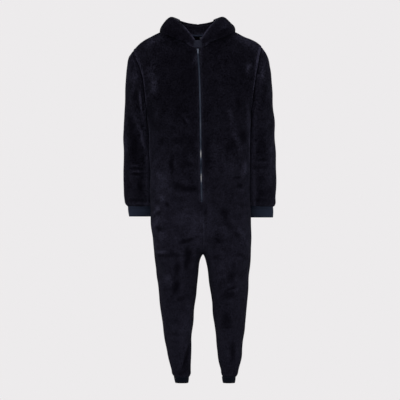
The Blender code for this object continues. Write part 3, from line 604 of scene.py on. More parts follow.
# Creases in front-view places: x and z of both ends, half width, depth, bow to one side.
# A negative depth is a ridge. The first word of a key is the piece's face.
CREASES = {
    "front_left": (
        (-124, -607, -15, -630, 13, 3.6, -13), (-118, -492, -117, -566, 9, 3.0, -2),
        (-72, -514, -34, -540, 11, 2.4, 4), (-192, -747, -154, -721, 7, 4.0, 2),
        (-180, -648, -150, -690, 11, -2.2, 3), (-196, -700, -160, -726, 8, -2.4, 3),
        (-198, -560, -168, -600, 9, 2.0, -3), (-205, -540, -172, -512, 9, -2.0, 3),
        (-92, -864, -18, -839, 8, 3.6, 3), (-50, -862, -57, -966, 14, 3.4, 3),
        (-92, -934, -98, -1000, 11, 3.6, -3), (-184, -913, -62, -911, 8, 2.2, 2),
        (-186, -896, -138, -893, 8, -2.4, 2), (-100, -1008, -105, -1080, 12, 3.4, 3),
        (-158, -1052, -118, -1060, 9, 1.4, 3), (-100, -1092, -62, -1090, 10, 1.8, -3),
        (-140, -1238, -58, -1241, 9, 1.0, 1), (-45, -1276, -80, -1396, 6, 3.8, 4),
        (-104, -1406, -60, -1407, 8, 2.0, -2), (-128, -1180, -84, -1192, 11, 1.2, 3),
        (-170, -250, -150, -330, 13, 2.2, 5), (-214, -250, -186, -392, 12, 2.6, -5),
        (-206, -120, -188, -228, 17, -2.4, 5), (-176, -424, -150, -440, 10, 2.2, 3),
        (-124, -432, -76, -428, 12, 2.0, 4), (-66, -322, -48, -362, 6, -1.8, 1),
        (-74, -330, -56, -372, 7, 1.4, 1), (-36, -430, -26, -500, 12, 1.8, 3),
        (-148, -6, -110, -44, 9, 1.8, 3), (-200, -20, -170, -60, 12, 1.8, -3),
        (-60, -52, -28, -66, 7, 1.8, 2), (-10, -712, -4, -800, 9, 1.4, 2),
        (-150, -690, -128, -704, 8, 2.4, 2), (-184, -798, -150, -796, 10, 2.2, -3),
    ),
    "front_right": (
        (112, -262, 178, -484, 13, -1.8, -7), (172, -384, 190, -440, 10, 3.2, -3),
        (206, -84, 206, -134, 9, -2.2, 2), (184, -508, 184, -588, 10, -2.4, 3),
        (138, -583, 178, -581, 5, 2.8, 1), (158, -612, 172, -628, 8, 2.8, 2),
        (150, -430, 108, -470, 13, 2.2, 4), (14, -628, 44, -618, 12, 2.2, 3),
        (26, -404, 30, -580, 14, 2.2, 4), (66, -600, 54, -660, 10, 1.8, -2),
        (84, -708, 118, -758, 14, 2.6, 3), (110, -764, 140, -802, 11, 2.4, -3),
        (138, -808, 162, -832, 8, 2.4, 2), (56, -842, 96, -850, 10, 2.4, -3),
        (60, -876, 74, -868, 7, 1.8, 0), (142, -938, 138, -974, 8, 2.6, -2),
        (136, -978, 114, -1028, 13, 3.0, 3), (110, -1059, 152, -1037, 6, 3.0, 1),
        (92, -1078, 150, -1072, 12, 2.4, -3), (112, -1148, 114, -1212, 15, 3.2, -3),
        (92, -1212, 136, -1210, 5, 2.2, 1), (136, -1276, 137, -1352, 9, 3.0, 2),
        (122, -1384, 110, -1406, 8, 1.8, 2), (162, -242, 166, -300, 10, 2.0, -2),
        (200, -250, 202, -400, 8, -2.0, 2), (60, -160, 40, -260, 16, 1.6, 4),
        (150, 6, 118, -30, 9, 2.4, 3), (60, -50, 92, -34, 6, 2.0, 2),
        (150, -690, 190, -700, 9, 1.8, 3), (24, -708, 18, -742, 8, 1.8, 2),
        (148, -908, 178, -906, 8, 2.0, 2), (56, -918, 82, -912, 8, 2.2, -2),
    ),
    "back_left": (
        (-150, -60, -60, -92, 17, 2.6, 9), (-212, -210, -150, -330, 15, 3.0, 6),
        (-140, -380, -30, -400, 16, 3.0, 8), (-190, -450, -60, -470, 14, 2.8, -7),
        (-150, -540, -40, -556, 15, 2.4, 8), (-190, -820, -60, -850, 15, 3.6, -12),
        (-160, -872, -50, -900, 12, 2.6, -8), (-158, -1090, -60, -1078, 12, 3.2, -5),
        (-152, -1126, -52, -1120, 10, 2.6, 5), (-140, -1160, -66, -1168, 11, 2.4, 4),
        (-60, -940, -78, -1040, 15, 2.4, 5), (-132, -1250, -120, -1330, 12, 2.4, 3),
        (-90, -1300, -70, -1400, 11, 2.8, -4), (-196, -640, -150, -720, 13, 2.2, -4),
    ),
    "back_right": (
        (160, -70, 50, -84, 16, 2.4, -8), (206, -220, 140, -350, 16, 3.0, -6),
        (150, -372, 24, -410, 15, 3.0, -7), (196, -440, 80, -486, 14, 2.6, 7),
        (160, -520, 60, -572, 16, 2.4, 8), (204, -806, 60, -858, 14, 3.8, 12),
        (176, -880, 70, -906, 12, 2.6, 7), (182, -1100, 92, -1082, 13, 3.0, 5),
        (178, -1132, 86, -1128, 10, 2.8, -5), (172, -1172, 104, -1160, 11, 2.2, 4),
        (80, -960, 104, -1050, 14, 2.4, -4), (150, -1240, 142, -1340, 12, 2.4, -3),
        (112, -1310, 122, -1404, 10, 2.6, 3), (200, -650, 160, -740, 12, 2.2, 4),
    ),
    "sleeve_left_front": (
        (-298, -543, -234, -545, 4.5, 2.6, 1), (-294, -566, -240, -568, 4.5, 2.4, -1),
        (-292, -530, -242, -532, 4.5, -1.8, 1), (-298, -555, -234, -558, 4.0, -2.2, 1),
        (-288, -580, -244, -581, 4.5, -1.6, 1), (-244, -212, -236, -320, 5, 3.0, 2),
        (-254, -214, -246, -310, 6, -2.2, 1), (-266, -322, -230, -466, 8, -2.4, 3),
        (-274, -206, -270, -262, 9, 3.0, 3), (-290, -322, -284, -400, 11, 2.8, 3),
        (-282, -380, -276, -532, 15, 3.2, 4), (-238, -480, -236, -530, 8, 2.2, 3),
        (-252, -588, -248, -652, 11, 2.2, 2), (-300, -674, -214, -676, 6, 1.8, -2),
        (-292, -90, -276, -160, 10, 2.0, 3), (-310, -470, -302, -540, 8, 1.8, 2),
    ),
    "sleeve_left_back": (
        (-306, -390, -234, -402, 8, 3.2, 5), (-304, -430, -240, -424, 7, 2.8, -4),
        (-296, -462, -246, -470, 7, 2.2, 3), (-286, -180, -244, -330, 12, 2.8, 6),
        (-300, -560, -270, -650, 11, 2.2, 4), (-252, -520, -240, -600, 9, 2.0, -3),
    ),
    "sleeve_right_front": (
        (236, -509, 292, -507, 4.5, 1.7, 1), (238, -519, 290, -520, 4.0, -0.8, 1),
        (238, -536, 288, -540, 6, 1.7, -2), (248, -574, 262, -610, 11, 1.4, 3),
        (238, -640, 278, -654, 11, 1.4, -3), (262, -176, 274, -284, 11, 2.0, 4),
        (262, -110, 264, -176, 10, -2.2, -2), (258, -384, 256, -500, 15, 1.5, 3),
        (300, -330, 288, -460, 11, 1.8, 4), (228, -200, 222, -330, 5, 2.4, 2),
        (300, -600, 284, -670, 11, 2.0, 3), (214, -676, 300, -678, 6, 1.6, 2),
    ),
    "sleeve_right_back": (
        (300, -380, 226, -410, 8, 3.0, -5), (304, -424, 232, -436, 7, 2.8, 4),
        (290, -470, 240, -462, 7, 2.0, 3), (282, -190, 236, -320, 12, 2.8, -6),
        (306, -550, 268, -640, 12, 2.2, 4), (246, -540, 236, -620, 9, 2.0, 3),
    ),
    "hood_left_front": (
        (-140, 22, -96, -2, 8, 2.2, 4), (-120, 76, -84, 40, 9, 2.0, 4),
        (-128, 54, -104, 66, 8, -1.4, 3), (-62, 4, -36, -22, 7, 2.0, 3),
    ),
    "hood_right_front": (
        (128, 42, 70, 8, 7, 2.8, -4), (112, 72, 78, 22, 8, -2.2, 4), (134, 60, 108, 84, 8, 1.8, 3),
        (54, 24, 34, -8, 7, 2.0, -3),
    ),
    "hood_left_back": (
        (-112, 60, -60, -20, 12, 3.0, 7), (-84, 20, -30, -80, 12, 2.6, -6),
        (-120, -10, -92, -62, 10, 2.4, 3), (-40, 44, -12, -10, 10, 2.0, 3),
    ),
    "hood_right_back": (
        (104, 64, 66, -30, 12, 3.0, -7), (76, 10, 34, -88, 12, 2.6, 5),
        (112, 0, 90, -66, 10, 2.2, -3), (44, 36, 10, -20, 10, 2.2, -3),
    ),
}

# Lay of the pile, with painted highlights and painted shade on shoulders, sides and folds, in
# front-view places:
# x, z, half reaches along and across, lean in degrees from level, and how much lighter (or darker,
# below 0) it lies
PILE_AND_PAINTED_LIGHT = {
    "front_left": (
        (-190, -195, 36, 20, 80, 0.8), (-206, -138, 52, 18, 76, 0.65),
        (-180, -358, 34, 20, 0, -0.35), (-45, -420, 34, 22, 0, -0.35), (-196, -8, 52, 17, 24, 0.7),
        (-256, -52, 16, 10, 60, 0.3), (-19, -86, 18, 10, 80, 0.9), (-218, -239, 14, 8, 60, 0.4),
        (-52, -343, 24, 6, -65, 0.35), (-68, -350, 26, 8, -65, -0.3),
        (-34, -338, 24, 8, -65, -0.25), (-88, -308, 38, 16, 84, -0.35),
        (-163, -431, 18, 12, 70, -0.45), (-100, -430, 25, 15, 0, -0.4),
        (-52, -467, 26, 16, 70, -0.4), (-118, -528, 38, 8.5, 88, -0.65),
        (-54, -527, 22, 14, 20, -0.4), (-62, -624, 58, 14, -8, -0.55),
        (-166, -600, 92, 38, -80, 0.42), (-150, -592, 40, 14, -52, 0.2),
        (-161, -672, 18, 12, 30, 0.4), (-179, -716, 26, 9, 45, 0.5), (-178, -768, 40, 17, 62, 0.5),
        (-162, -741, 10, 6, 10, -0.5), (-140, -697, 18, 9, -30, -0.3), (-153, -762, 8, 6, 0, 0.3),
        (-168, -797, 17, 12, 0, -0.4), (-100, -794, 70, 16, 0, -0.2), (-62, -736, 50, 38, 70, 0.2),
        (-160, -828, 20, 12, 10, 0.35), (-55, -848, 38, 7, 18, -0.45), (0, -810, 80, 34, 88, 0.25),
        (-52, -905, 42, 17, 86, -0.55), (-56, -945, 26, 9, 86, -0.45),
        (-122, -910, 62, 6, 1, -0.25), (-162, -894, 24, 8, 0, 0.45), (-118, -900, 12, 8, 0, -0.4),
        (-94, -964, 34, 14, 86, -0.5), (-102, -1044, 33, 15, 84, -0.62),
        (-81, -1091, 19, 11, 0, -0.3), (-139, -1008, 28, 20, 60, 0.35),
        (-62, -1338, 60, 6, 74, -0.5), (-58, -1377, 22, 10, 80, -0.5),
        (-78, -1402, 18, 9, 0, -0.35), (-56, -1195, 150, 22, 80, 0.22),
        (-95, -190, 120, 62, 88, -0.17), (-100, -1240, 42, 4, 0, -0.2),
        (-40, -130, 120, 40, 80, -0.25), (-84, -12, 60, 6, -21, 0.4), (-120, -90, 60, 30, 10, -0.2),
    ),
    "front_right": (
        (196, -8, 66, 19, -30, 0.7), (6, -70, 34, 7, 88, 0.6), (206, -118, 22, 14, 70, 1.15),
        (243, -80, 26, 9, 88, 0.3), (196, -160, 26, 9, 70, 0.35), (132, -330, 64, 12, -76, 0.32),
        (200, -325, 78, 9, 89, 0.35), (161, -271, 28, 10, 80, -0.4), (163, -445, 50, 12, -65, 0.35),
        (183, -404, 25, 15, -80, -0.65), (125, -450, 26, 19, 40, -0.35),
        (27, -480, 96, 18, 88, -0.4), (184, -548, 38, 11, 88, 0.5), (157, -582, 18, 4, 2, -0.5),
        (164, -619, 10, 8, -40, -0.55), (176, -632, 10, 7, -30, 0.4), (60, -480, 60, 30, 60, 0.12),
        (120, -540, 60, 34, 20, 0.15), (21, -724, 18, 8, 60, -0.3), (101, -734, 34, 20, -50, -0.28),
        (30, -810, 80, 34, 88, 0.22), (124, -782, 32, 20, -48, -0.25),
        (148, -820, 16, 9, -35, -0.35), (186, -800, 9, 7, 0, -0.4), (74, -843, 32, 13, -8, -0.3),
        (66, -868, 16, 10, 60, -0.25), (182, -837, 66, 20, -84, 0.25), (79, -794, 26, 20, 0, 0.25),
        (68, -915, 18, 12, 0, -0.2), (163, -908, 15, 8, 0, -0.4), (148, -956, 20, 12, -70, -0.35),
        (132, -995, 32, 17, -65, -0.45), (131, -1048, 20, 4, 27, -0.4),
        (121, -1075, 31, 17, 5, -0.4), (100, -960, 110, 80, 88, 0.12),
        (150, -1054, 12, 8, 60, 0.35), (112, -1180, 38, 26, 88, -0.42),
        (114, -1212, 24, 4, 0, -0.3), (136, -1314, 40, 10, 88, -0.55), (80, -260, 90, 50, 60, 0.05),
        (170, -90, 60, 24, 70, -0.25), (90, -40, 60, 26, 20, -0.2), (66, -1010, 60, 16, 70, 0.15),
        (84, -960, 40, 18, 10, 0.12), (34, -760, 60, 9, 84, 0.12),
    ),
    "sleeve_left_front": (
        (-308, -300, 200, 12, 88, 0.35), (-279, -160, 52, 11, 88, 0.42),
        (-250, -262, 48, 5, -85, 0.5), (-248, -402, 72, 9, -73, 0.6), (-272, -233, 26, 9, 80, -0.5),
        (-294, -260, 22, 7, 88, 0.35), (-291, -368, 48, 13, -84, -0.5),
        (-275, -462, 58, 30, 88, -0.5), (-268, -531, 25, 5, 4, 0.38), (-267, -557, 31, 5, 3, 0.5),
        (-270, -580, 20, 5, -6, 0.32), (-265, -544, 31, 4.5, 0, -0.4),
        (-266, -567, 27, 4.5, 0, -0.4), (-252, -620, 38, 19, 86, -0.33),
        (-258, -676, 50, 6, 0, -0.25), (-256, -691, 50, 5, 0, 0.35),
        (-307, -270, 110, 15, 88, -0.45), (-309, -466, 34, 12, 88, 0.3),
    ),
    "sleeve_right_front": (
        (302, -480, 190, 12, 88, 0.4), (228, -614, 80, 12, 88, 0.35), (266, -143, 36, 9, 84, 0.4),
        (255, -160, 14, 11, 0, 0.55), (269, -229, 56, 11, 86, -0.32), (258, -442, 62, 17, 86, -0.3),
        (256, -560, 190, 42, 88, 0.2), (264, -508, 29, 4.5, 0, -0.18), (264, -519, 27, 5, 0, 0.25),
        (262, -538, 27, 6, 0, -0.3), (254, -592, 20, 13, 60, -0.25),
        (258, -647, 24, 17, -10, -0.22), (262, -34, 34, 14, -60, 0.7), (256, -678, 48, 6, 0, -0.12),
        (256, -692, 46, 5, 0, 0.3),
    ),
    "back_left": (
        (-120, -180, 70, 30, 60, 0.3), (-60, -420, 60, 24, 10, -0.4), (-150, -560, 70, 24, 70, 0.3),
        (-110, -760, 70, 40, 30, 0.25), (-110, -870, 60, 14, -12, -0.5),
        (-110, -1100, 50, 20, 4, -0.45), (-80, -1240, 60, 20, 80, 0.2),
        (-100, -1340, 40, 14, 80, -0.4),
    ),
    "back_right": (
        (110, -160, 80, 34, -60, 0.25), (80, -400, 60, 24, -12, -0.4), (150, -600, 80, 20, 80, 0.3),
        (110, -740, 60, 40, -20, 0.2), (130, -860, 60, 14, 14, -0.5),
        (140, -1110, 50, 20, -4, -0.45), (150, -1260, 60, 18, 80, -0.35),
        (110, -1380, 40, 12, 80, 0.2),
    ),
    "hood_left_front": (
        (-120, 40, 30, 16, 60, 0.15), (-100, 20, 40, 12, -30, -0.3), (-106, 2, 24, 5, -24, 0.5),
        (-38, -27, 24, 6, -35, 0.9), (-82, -4, 64, 7, -21, 0.35), (-120, 24, 60, 34, 60, -0.2),
    ),
    "hood_right_front": (
        (110, 60, 34, 10, 50, 0.3), (80, 30, 30, 12, 40, -0.2), (92, 64, 30, 4, 58, 0.35),
        (96, 18, 34, 5, 24, -0.7), (46, -12, 40, 6, 30, 0.6), (28, -22, 18, 8, 0, 0.8),
    ),
    "sleeve_left_back": (
        (-300, -260, 90, 16, 84, 0.3), (-262, -320, 60, 18, 76, -0.35),
        (-276, -430, 40, 22, 10, 0.3), (-256, -540, 70, 16, 88, -0.4),
        (-290, -610, 60, 14, 80, 0.25),
    ),
    "sleeve_right_back": (
        (290, -220, 80, 16, -82, 0.3), (250, -340, 70, 18, -74, -0.4), (272, -450, 44, 20, -8, 0.3),
        (286, -570, 70, 16, 86, -0.35), (240, -640, 40, 14, 70, 0.25),
    ),
    "hood_left_back": (
        (-96, 30, 40, 22, -50, 0.3), (-50, -40, 50, 18, -20, -0.35), (-24, 20, 30, 14, 70, 0.2),
    ),
    "hood_right_back": (
        (92, 24, 44, 20, 46, 0.3), (46, -50, 50, 18, 24, -0.35), (30, 30, 30, 14, -60, 0.2),
    ),
}


def slack(points):
    """The cloth's slack: a sum of slow sine waves in space, the same on both sides of a seam."""
    total = np.zeros(points.shape[:2])
    for k, (height, *turns) in enumerate(SLACK):
        total += height * np.sin(2 * np.pi * (points @ np.array(turns)) * MM + 1.7 * k)
    return total


def crease(points, x0, z0, x1, z1, wide, deep, bow):
    """A soft trough along a bowed line, faded at both ends, with a low bank on each side."""
    along = np.array((x1 - x0, z1 - z0), float)
    length = np.linalg.norm(along)
    along /= length
    dx, dz = points[..., 0] - x0, points[..., 2] - z0
    t = (dx * along[0] + dz * along[1]) / length
    off = dz * along[0] - dx * along[1] - bow * 4 * t * (1 - t)
    ends = np.sin(np.pi * np.clip(t, 0, 1)) ** 0.7
    width = wide * (0.6 + 0.4 * ends)
    trough = bump(off, width)
    at, reach = BANK_AT * width, BANK_WIDE * width
    banks = BANK_HEIGHT * (bump(off - at, reach) + bump(off + at, reach))
    return deep * ends * (banks - trough)


def seen(points):
    """Where the camera sees points, on the plane through the origin."""
    closer = EYE_DISTANCE / (EYE_DISTANCE + points[..., 1])
    x, z = points[..., 0] * closer, EYE_Z + (points[..., 2] - EYE_Z) * closer
    return np.stack([x, points[..., 1], z], axis=-1)


def wander(points):
    """A slow sideways drift in space, a sum of sine waves, that makes straight outlines uneven."""
    drift = np.zeros_like(points)
    for height, turns_x, turns_z, phase in WANDER:
        angle = 2 * np.pi * MM * (points[..., 0] * turns_x + points[..., 2] * turns_z) + phase
        drift[..., 0] += height * np.sin(angle)
        drift[..., 2] += height * np.cos(1.3 * angle)
    return drift


def pile_or_painted_light_patch(points, drift, x, z, along, across, lean, strength):
    """A soft-edged oval of lighter or darker pile, or of painted light or painted shade; narrow
    ones drift less.
    """
    angle = np.radians(lean)
    moved = points + drift * min(across / WIDE_PATCH, 1)
    dx, dz = moved[..., 0] - x, moved[..., 2] - z
    u = (dx * np.cos(angle) + dz * np.sin(angle)) / along
    v = (dz * np.cos(angle) - dx * np.sin(angle)) / across
    return strength * np.exp(-((u * u + v * v) ** 1.3))


def add_creases(piece, key, weight):
    """Adds a table's creases, with painted shade in each trough and painted light on its banks."""
    places = seen(piece.points)
    creased = sum(crease(places, *row) for row in CREASES[key]) * weight
    piece.form += creased
    piece.nap_and_painted_light += creased * CREASE_PAINTED_LIGHT_AND_SHADE


def add_pile_and_painted_light(piece, key, weight=1.0):
    """Adds a table's patches of pile and of painted light and shade, with outlines that wander."""
    places = seen(piece.points)
    drift = wander(places)
    patches = sum(pile_or_painted_light_patch(places, drift, *row) for row in PILE_AND_PAINTED_LIGHT[key])
    piece.nap_and_painted_light += patches * weight * PILE_AND_PAINTED_LIGHT_TONE


def seam_groove(distance, deep, wide):
    """Both sides of a seam dip to it as a V with rounded shoulders."""
    return -deep * np.clip(1 - distance / wide, 0, 1) ** 2


def bell(distance, strength, at, wide):
    """A bell of some strength at a distance from an edge."""
    return strength * bump(distance - at, wide)


def gathers(turns, distance, high, number, lean):
    """Puckers above a cuff: uneven waves round the limb that die away from the seam."""
    phase = number * turns + 1.3 * np.sin(2 * turns + lean) + 0.7 * np.sin(5 * turns)
    uneven = 0.65 + 0.35 * np.sin(3 * turns + lean)
    near = fade(distance, *GATHERS_BEGIN) * fade(distance, *GATHERS_END)
    return high * near * uneven * np.sin(phase + GATHERS_LEAN * distance)


def relieve_panel(piece, side, face):
    """Relief, pile and painted light and shade of a front or back."""
    points, below = piece.points, piece.points[..., 2] < UNDERARM_Z
    z = points[..., 2]
    to_centre, to_side = piece.across, piece.to_last
    zipped = (face == "front") * fade(z, *ZIP_BEGINS)
    calm = 1 - zipped * fade(to_centre, *ZIP_CALM)
    calm *= fade(piece.from_top, *TOP_CALM)
    calm *= 1 - fade(to_side, *SIDE_CALM) * fade(z, *CALM_UNDER_ARM)
    piece.form += slack(points) * BODY_SLACK * calm
    edges = fade(to_side, *FREE_SIDE) * fade(piece.from_top, *FREE_TOP)
    edges = edges * fade(piece.to_end, *FREE_ANKLE) * fade(to_centre, *FREE_CENTRE)
    add_creases(piece, piece.name, edges)
    piece.surface += PILE_HEIGHT
    deepening = SHALLOW_GROOVE + (1 - SHALLOW_GROOVE) * fade(z, *GROOVE_DEEPENS)
    piece.surface += seam_groove(to_side, *SIDE_GROOVE) * below * deepening
    piece.surface += seam_groove(to_centre, *CENTRE_GROOVE) * (1 - zipped)
    piece.surface += seam_groove(piece.from_top, *TOP_GROOVE)
    piece.surface += seam_groove(piece.to_end, *ANKLE_GROOVE)
    piece.surface += bell(to_side, *ARMHOLE_LIP) * ~below
    piece.surface += zipped * (bell(to_centre, *ZIP_LIP) - bell(to_centre, *ZIP_TOPSTITCH))
    turns = np.pi * PANEL_SHARES / SIDE_SHARE * facing(face)
    piece.surface += gathers(turns, piece.to_end, *ANKLE_GATHERS, SIDES[side])
    piece.surface += bell(piece.to_end, *ANKLE_SWELL)
    add_pile_and_painted_light(piece, piece.name)
    piece.nap_and_painted_light += through(BODY_TONE, z)
    # Painted sheen towards the side seams
    piece.nap_and_painted_light += fade(to_side, *SIDE_PAINTED_SHEEN) * SIDE_PAINTED_SHEEN_TONE * (1 - fade(z, *LEGS))
    # Painted highlight on the ridge beside the armhole seam
    ridge = RIDGE_WIDE + RIDGE_SHOULDER_ADDS * fade(z, *RIDGE_AT_SHOULDER)
    ridge = ridge + RIDGE_ARM_ADDS * fade(z, *RIDGE_UNDER_ARM)
    bright = BACK_RIDGE if face == "back" else 1.0
    if side == "left":
        brightening = fade(z, *RIDGE_BRIGHTENS) * fade(z, *RIDGE_DIMS)
        bright *= LEFT_RIDGE + (1 - LEFT_RIDGE) * brightening
    lit = bright * bump(to_side - RIDGE_AT * ridge, RIDGE_REACH * ridge)
    piece.nap_and_painted_light += lit * fade(z, *RIDGE_ENDS)
    # Painted highlight on the fronts' edges by the zip, painted shade down the legs' sides and
    # inner edges, and painted highlights down to the crotch
    piece.nap_and_painted_light += zipped * bell(to_centre, *ZIP_LIGHT)
    piece.nap_and_painted_light -= bell(to_side, *LEG_SHADE) * fade(z, *OUTER_LEG_Z)
    piece.nap_and_painted_light -= bell(to_centre, *LEG_SHADE) * fade(z, *INNER_LEG_Z)
    if face == "front":
        line = bell(to_centre, *CROTCH_LINE) if side == "right" else CROTCH_LINE_LEFT
        piece.nap_and_painted_light += line * fade(z, *CROTCH_LINE_Z) * fade(z, *CROTCH_LINE_ENDS)
        lit = bell(to_centre, *CROTCH_LIGHT) * fade(z, *CROTCH_LIGHT_Z)
        piece.nap_and_painted_light += lit * fade(z, *CROTCH_LIGHT_ENDS)


def relieve_sleeve(piece, side):
    """Relief, pile and painted light and shade of a sleeve; its front and its back have creases of
    their own.
    """
    points, turns = piece.points, ring_turns()
    ahead = fade(np.sin(turns), *SLEEVE_FRONT)
    piece.form += slack(points) * SLEEVE_SLACK * fade(piece.from_top, *SLEEVE_CALM)
    edges = fade(piece.from_top, *FREE_ARMHOLE) * fade(piece.to_end, *FREE_WRIST)
    for face, weight in (("front", ahead), ("back", 1 - ahead)):
        add_creases(piece, f"{piece.name}_{face}", weight * edges)
        add_pile_and_painted_light(piece, f"{piece.name}_{face}", weight)
    shallow = 1 - UNDER_ARM_EASE * fade(-np.cos(turns), *UNDER_ARM)
    piece.surface += PILE_HEIGHT + seam_groove(piece.from_top, *ARMHOLE_GROOVE) * shallow
    piece.surface += seam_groove(piece.to_end, *WRIST_GROOVE)
    piece.surface += bell(piece.to_end, *WRIST_SWELL)
    piece.surface += gathers(turns, piece.to_end, *WRIST_GATHERS, SIDES[side])
    # Painted highlight on the outer arm, painted light on the inner arm where it lies in shade by
    # the body, and painted shade beside the armhole seam
    outer_light = OUTER_ARM_LIGHT * fade(np.cos(turns), *OUTER_ARM)
    piece.nap_and_painted_light += through(SLEEVE_TONE, points[..., 2]) + outer_light
    lit = INNER_ARM_LIGHT * fade(-np.cos(turns), *INNER_ARM) * fade(points[..., 2], *INNER_ARM_Z)
    piece.nap_and_painted_light += lit * (INNER_ARM_BACK + (1 - INNER_ARM_BACK) * ahead)
    piece.nap_and_painted_light -= bell(piece.from_top, *ARMHOLE_SHADE[side]) * ahead


def relieve_hood(piece, stations):
    """Relief, pile and painted light and shade of half the hood: a turned hem at the rim and folds
    that fan out.
    """
    points = piece.points
    rear = fade(stations, *HOOD_REAR)
    edges = fade(piece.from_top, *FREE_NECK) * fade(piece.to_end, *FREE_RIM)
    edges = edges * fade(piece.to_last, *FREE_BACK)
    piece.form += slack(points) * HOOD_SLACK * edges * fade(stations, *HOOD_SLACK_FROM)
    creased = fade(stations, *HOOD_CREASES_FROM)
    for face, weight in (("front", 1 - rear), ("back", rear)):
        add_creases(piece, f"{piece.name}_{face}", weight * edges * creased)
        add_pile_and_painted_light(piece, f"{piece.name}_{face}", weight)
    roomy = fade(piece.from_top[-1:], *ROOMY_HOOD)
    piece.surface += PILE_HEIGHT + seam_groove(piece.from_top, *HOOD_NECK_GROOVE)
    piece.surface += seam_groove(piece.to_last, *HOOD_BACK_GROOVE)
    hem = RIM_HEM_RISE * fade(piece.to_end, *RIM_HEM)
    piece.surface += roomy * (hem - bell(piece.to_end, *RIM_TOPSTITCH))
    # Painted highlights along the rim and the front ends, painted shade along the neck seam, and
    # the hood's tone
    piece.nap_and_painted_light += bell(piece.to_end, *RIM_LIGHT) * (1 - rear) + HOOD_TONE
    piece.nap_and_painted_light += bell(piece.across, *FRONT_END_LIGHT)
    piece.nap_and_painted_light -= bell(piece.from_top, *HOOD_SEAM_SHADE)


def relieve_cuff(piece, crown, hem_shade):
    """A knitted band swells between its seam and its folded hem, with a painted highlight by its
    seam and painted shade in its dip and at its hem.
    """
    t = piece.from_top / piece.from_top[-1:]
    piece.form += crown * np.sin(np.pi * np.clip(t, 0, 1)) ** 0.8
    piece.surface += bell(piece.from_top, *CUFF_RIM) - bell(piece.from_top, *CUFF_DIP)
    piece.nap_and_painted_light += bell(piece.from_top, *CUFF_RIM_LIGHT) - bell(piece.from_top, *CUFF_DIP_SHADE)
    piece.nap_and_painted_light -= bell(piece.to_end, hem_shade, 0, 3.0)


# ---------------------------------------------------------------- meshes


def build_mesh(name, points, quads, outward=1, uv=None, wrap=0.0):
    """Makes an object from millimetre points and four-cornered faces."""
    quads = quads[:, ::-1] if outward > 0 else quads
    mesh = bpy.data.meshes.new(name)
    mesh.vertices.add(len(points))
    mesh.vertices.foreach_set("co", (np.asarray(points, float) * MM).ravel())
    mesh.loops.add(quads.size)
    mesh.loops.foreach_set("vertex_index", quads.ravel().astype(np.int32))
    mesh.polygons.add(len(quads))
    mesh.polygons.foreach_set("loop_start", np.arange(0, quads.size, 4, dtype=np.int32))
    mesh.update(calc_edges=True)
    if uv is not None:
        corners = uv[quads.ravel()].reshape(len(quads), 4, 2).copy()
        if wrap:
            behind = corners[..., 0].max(axis=1, keepdims=True) - corners[..., 0] > wrap / 2
            corners[..., 0] += behind * wrap
        layer = mesh.uv_layers.new(name="cloth")
        layer.data.foreach_set("uv", (corners * MM).ravel())
    made = bpy.data.objects.new(name, mesh)
    bpy.context.scene.collection.objects.link(made)
    mesh.shade_smooth()
    return made


def grid_quads(rows, columns, ring=False, tube=False):
    """Faces of a grid of points; ring closes it across, tube closes it down."""
    index = np.arange(rows * columns).reshape(rows, columns)
    if ring:
        index = np.concatenate([index, index[:, :1]], axis=1)
    if tube:
        index = np.concatenate([index, index[:1]])
    corners = (index[:-1, :-1], index[1:, :-1], index[1:, 1:], index[:-1, 1:])
    return np.stack([corner.ravel() for corner in corners], axis=1)


def border_loop(index):
    """The border of a grid of point numbers, once round."""
    return np.concatenate([index[0, :-1], index[:-1, -1], index[-1, :0:-1], index[:0:-1, 0]])


def strip_quads(lines):
    """Faces between neighbouring closed lines of point numbers."""
    quads = []
    for first, second in zip(lines[:-1], lines[1:]):
        ahead, behind = np.roll(first, -1), np.roll(second, -1)
        quads.append(np.stack([first, ahead, behind, second], axis=1))
    return np.concatenate(quads)


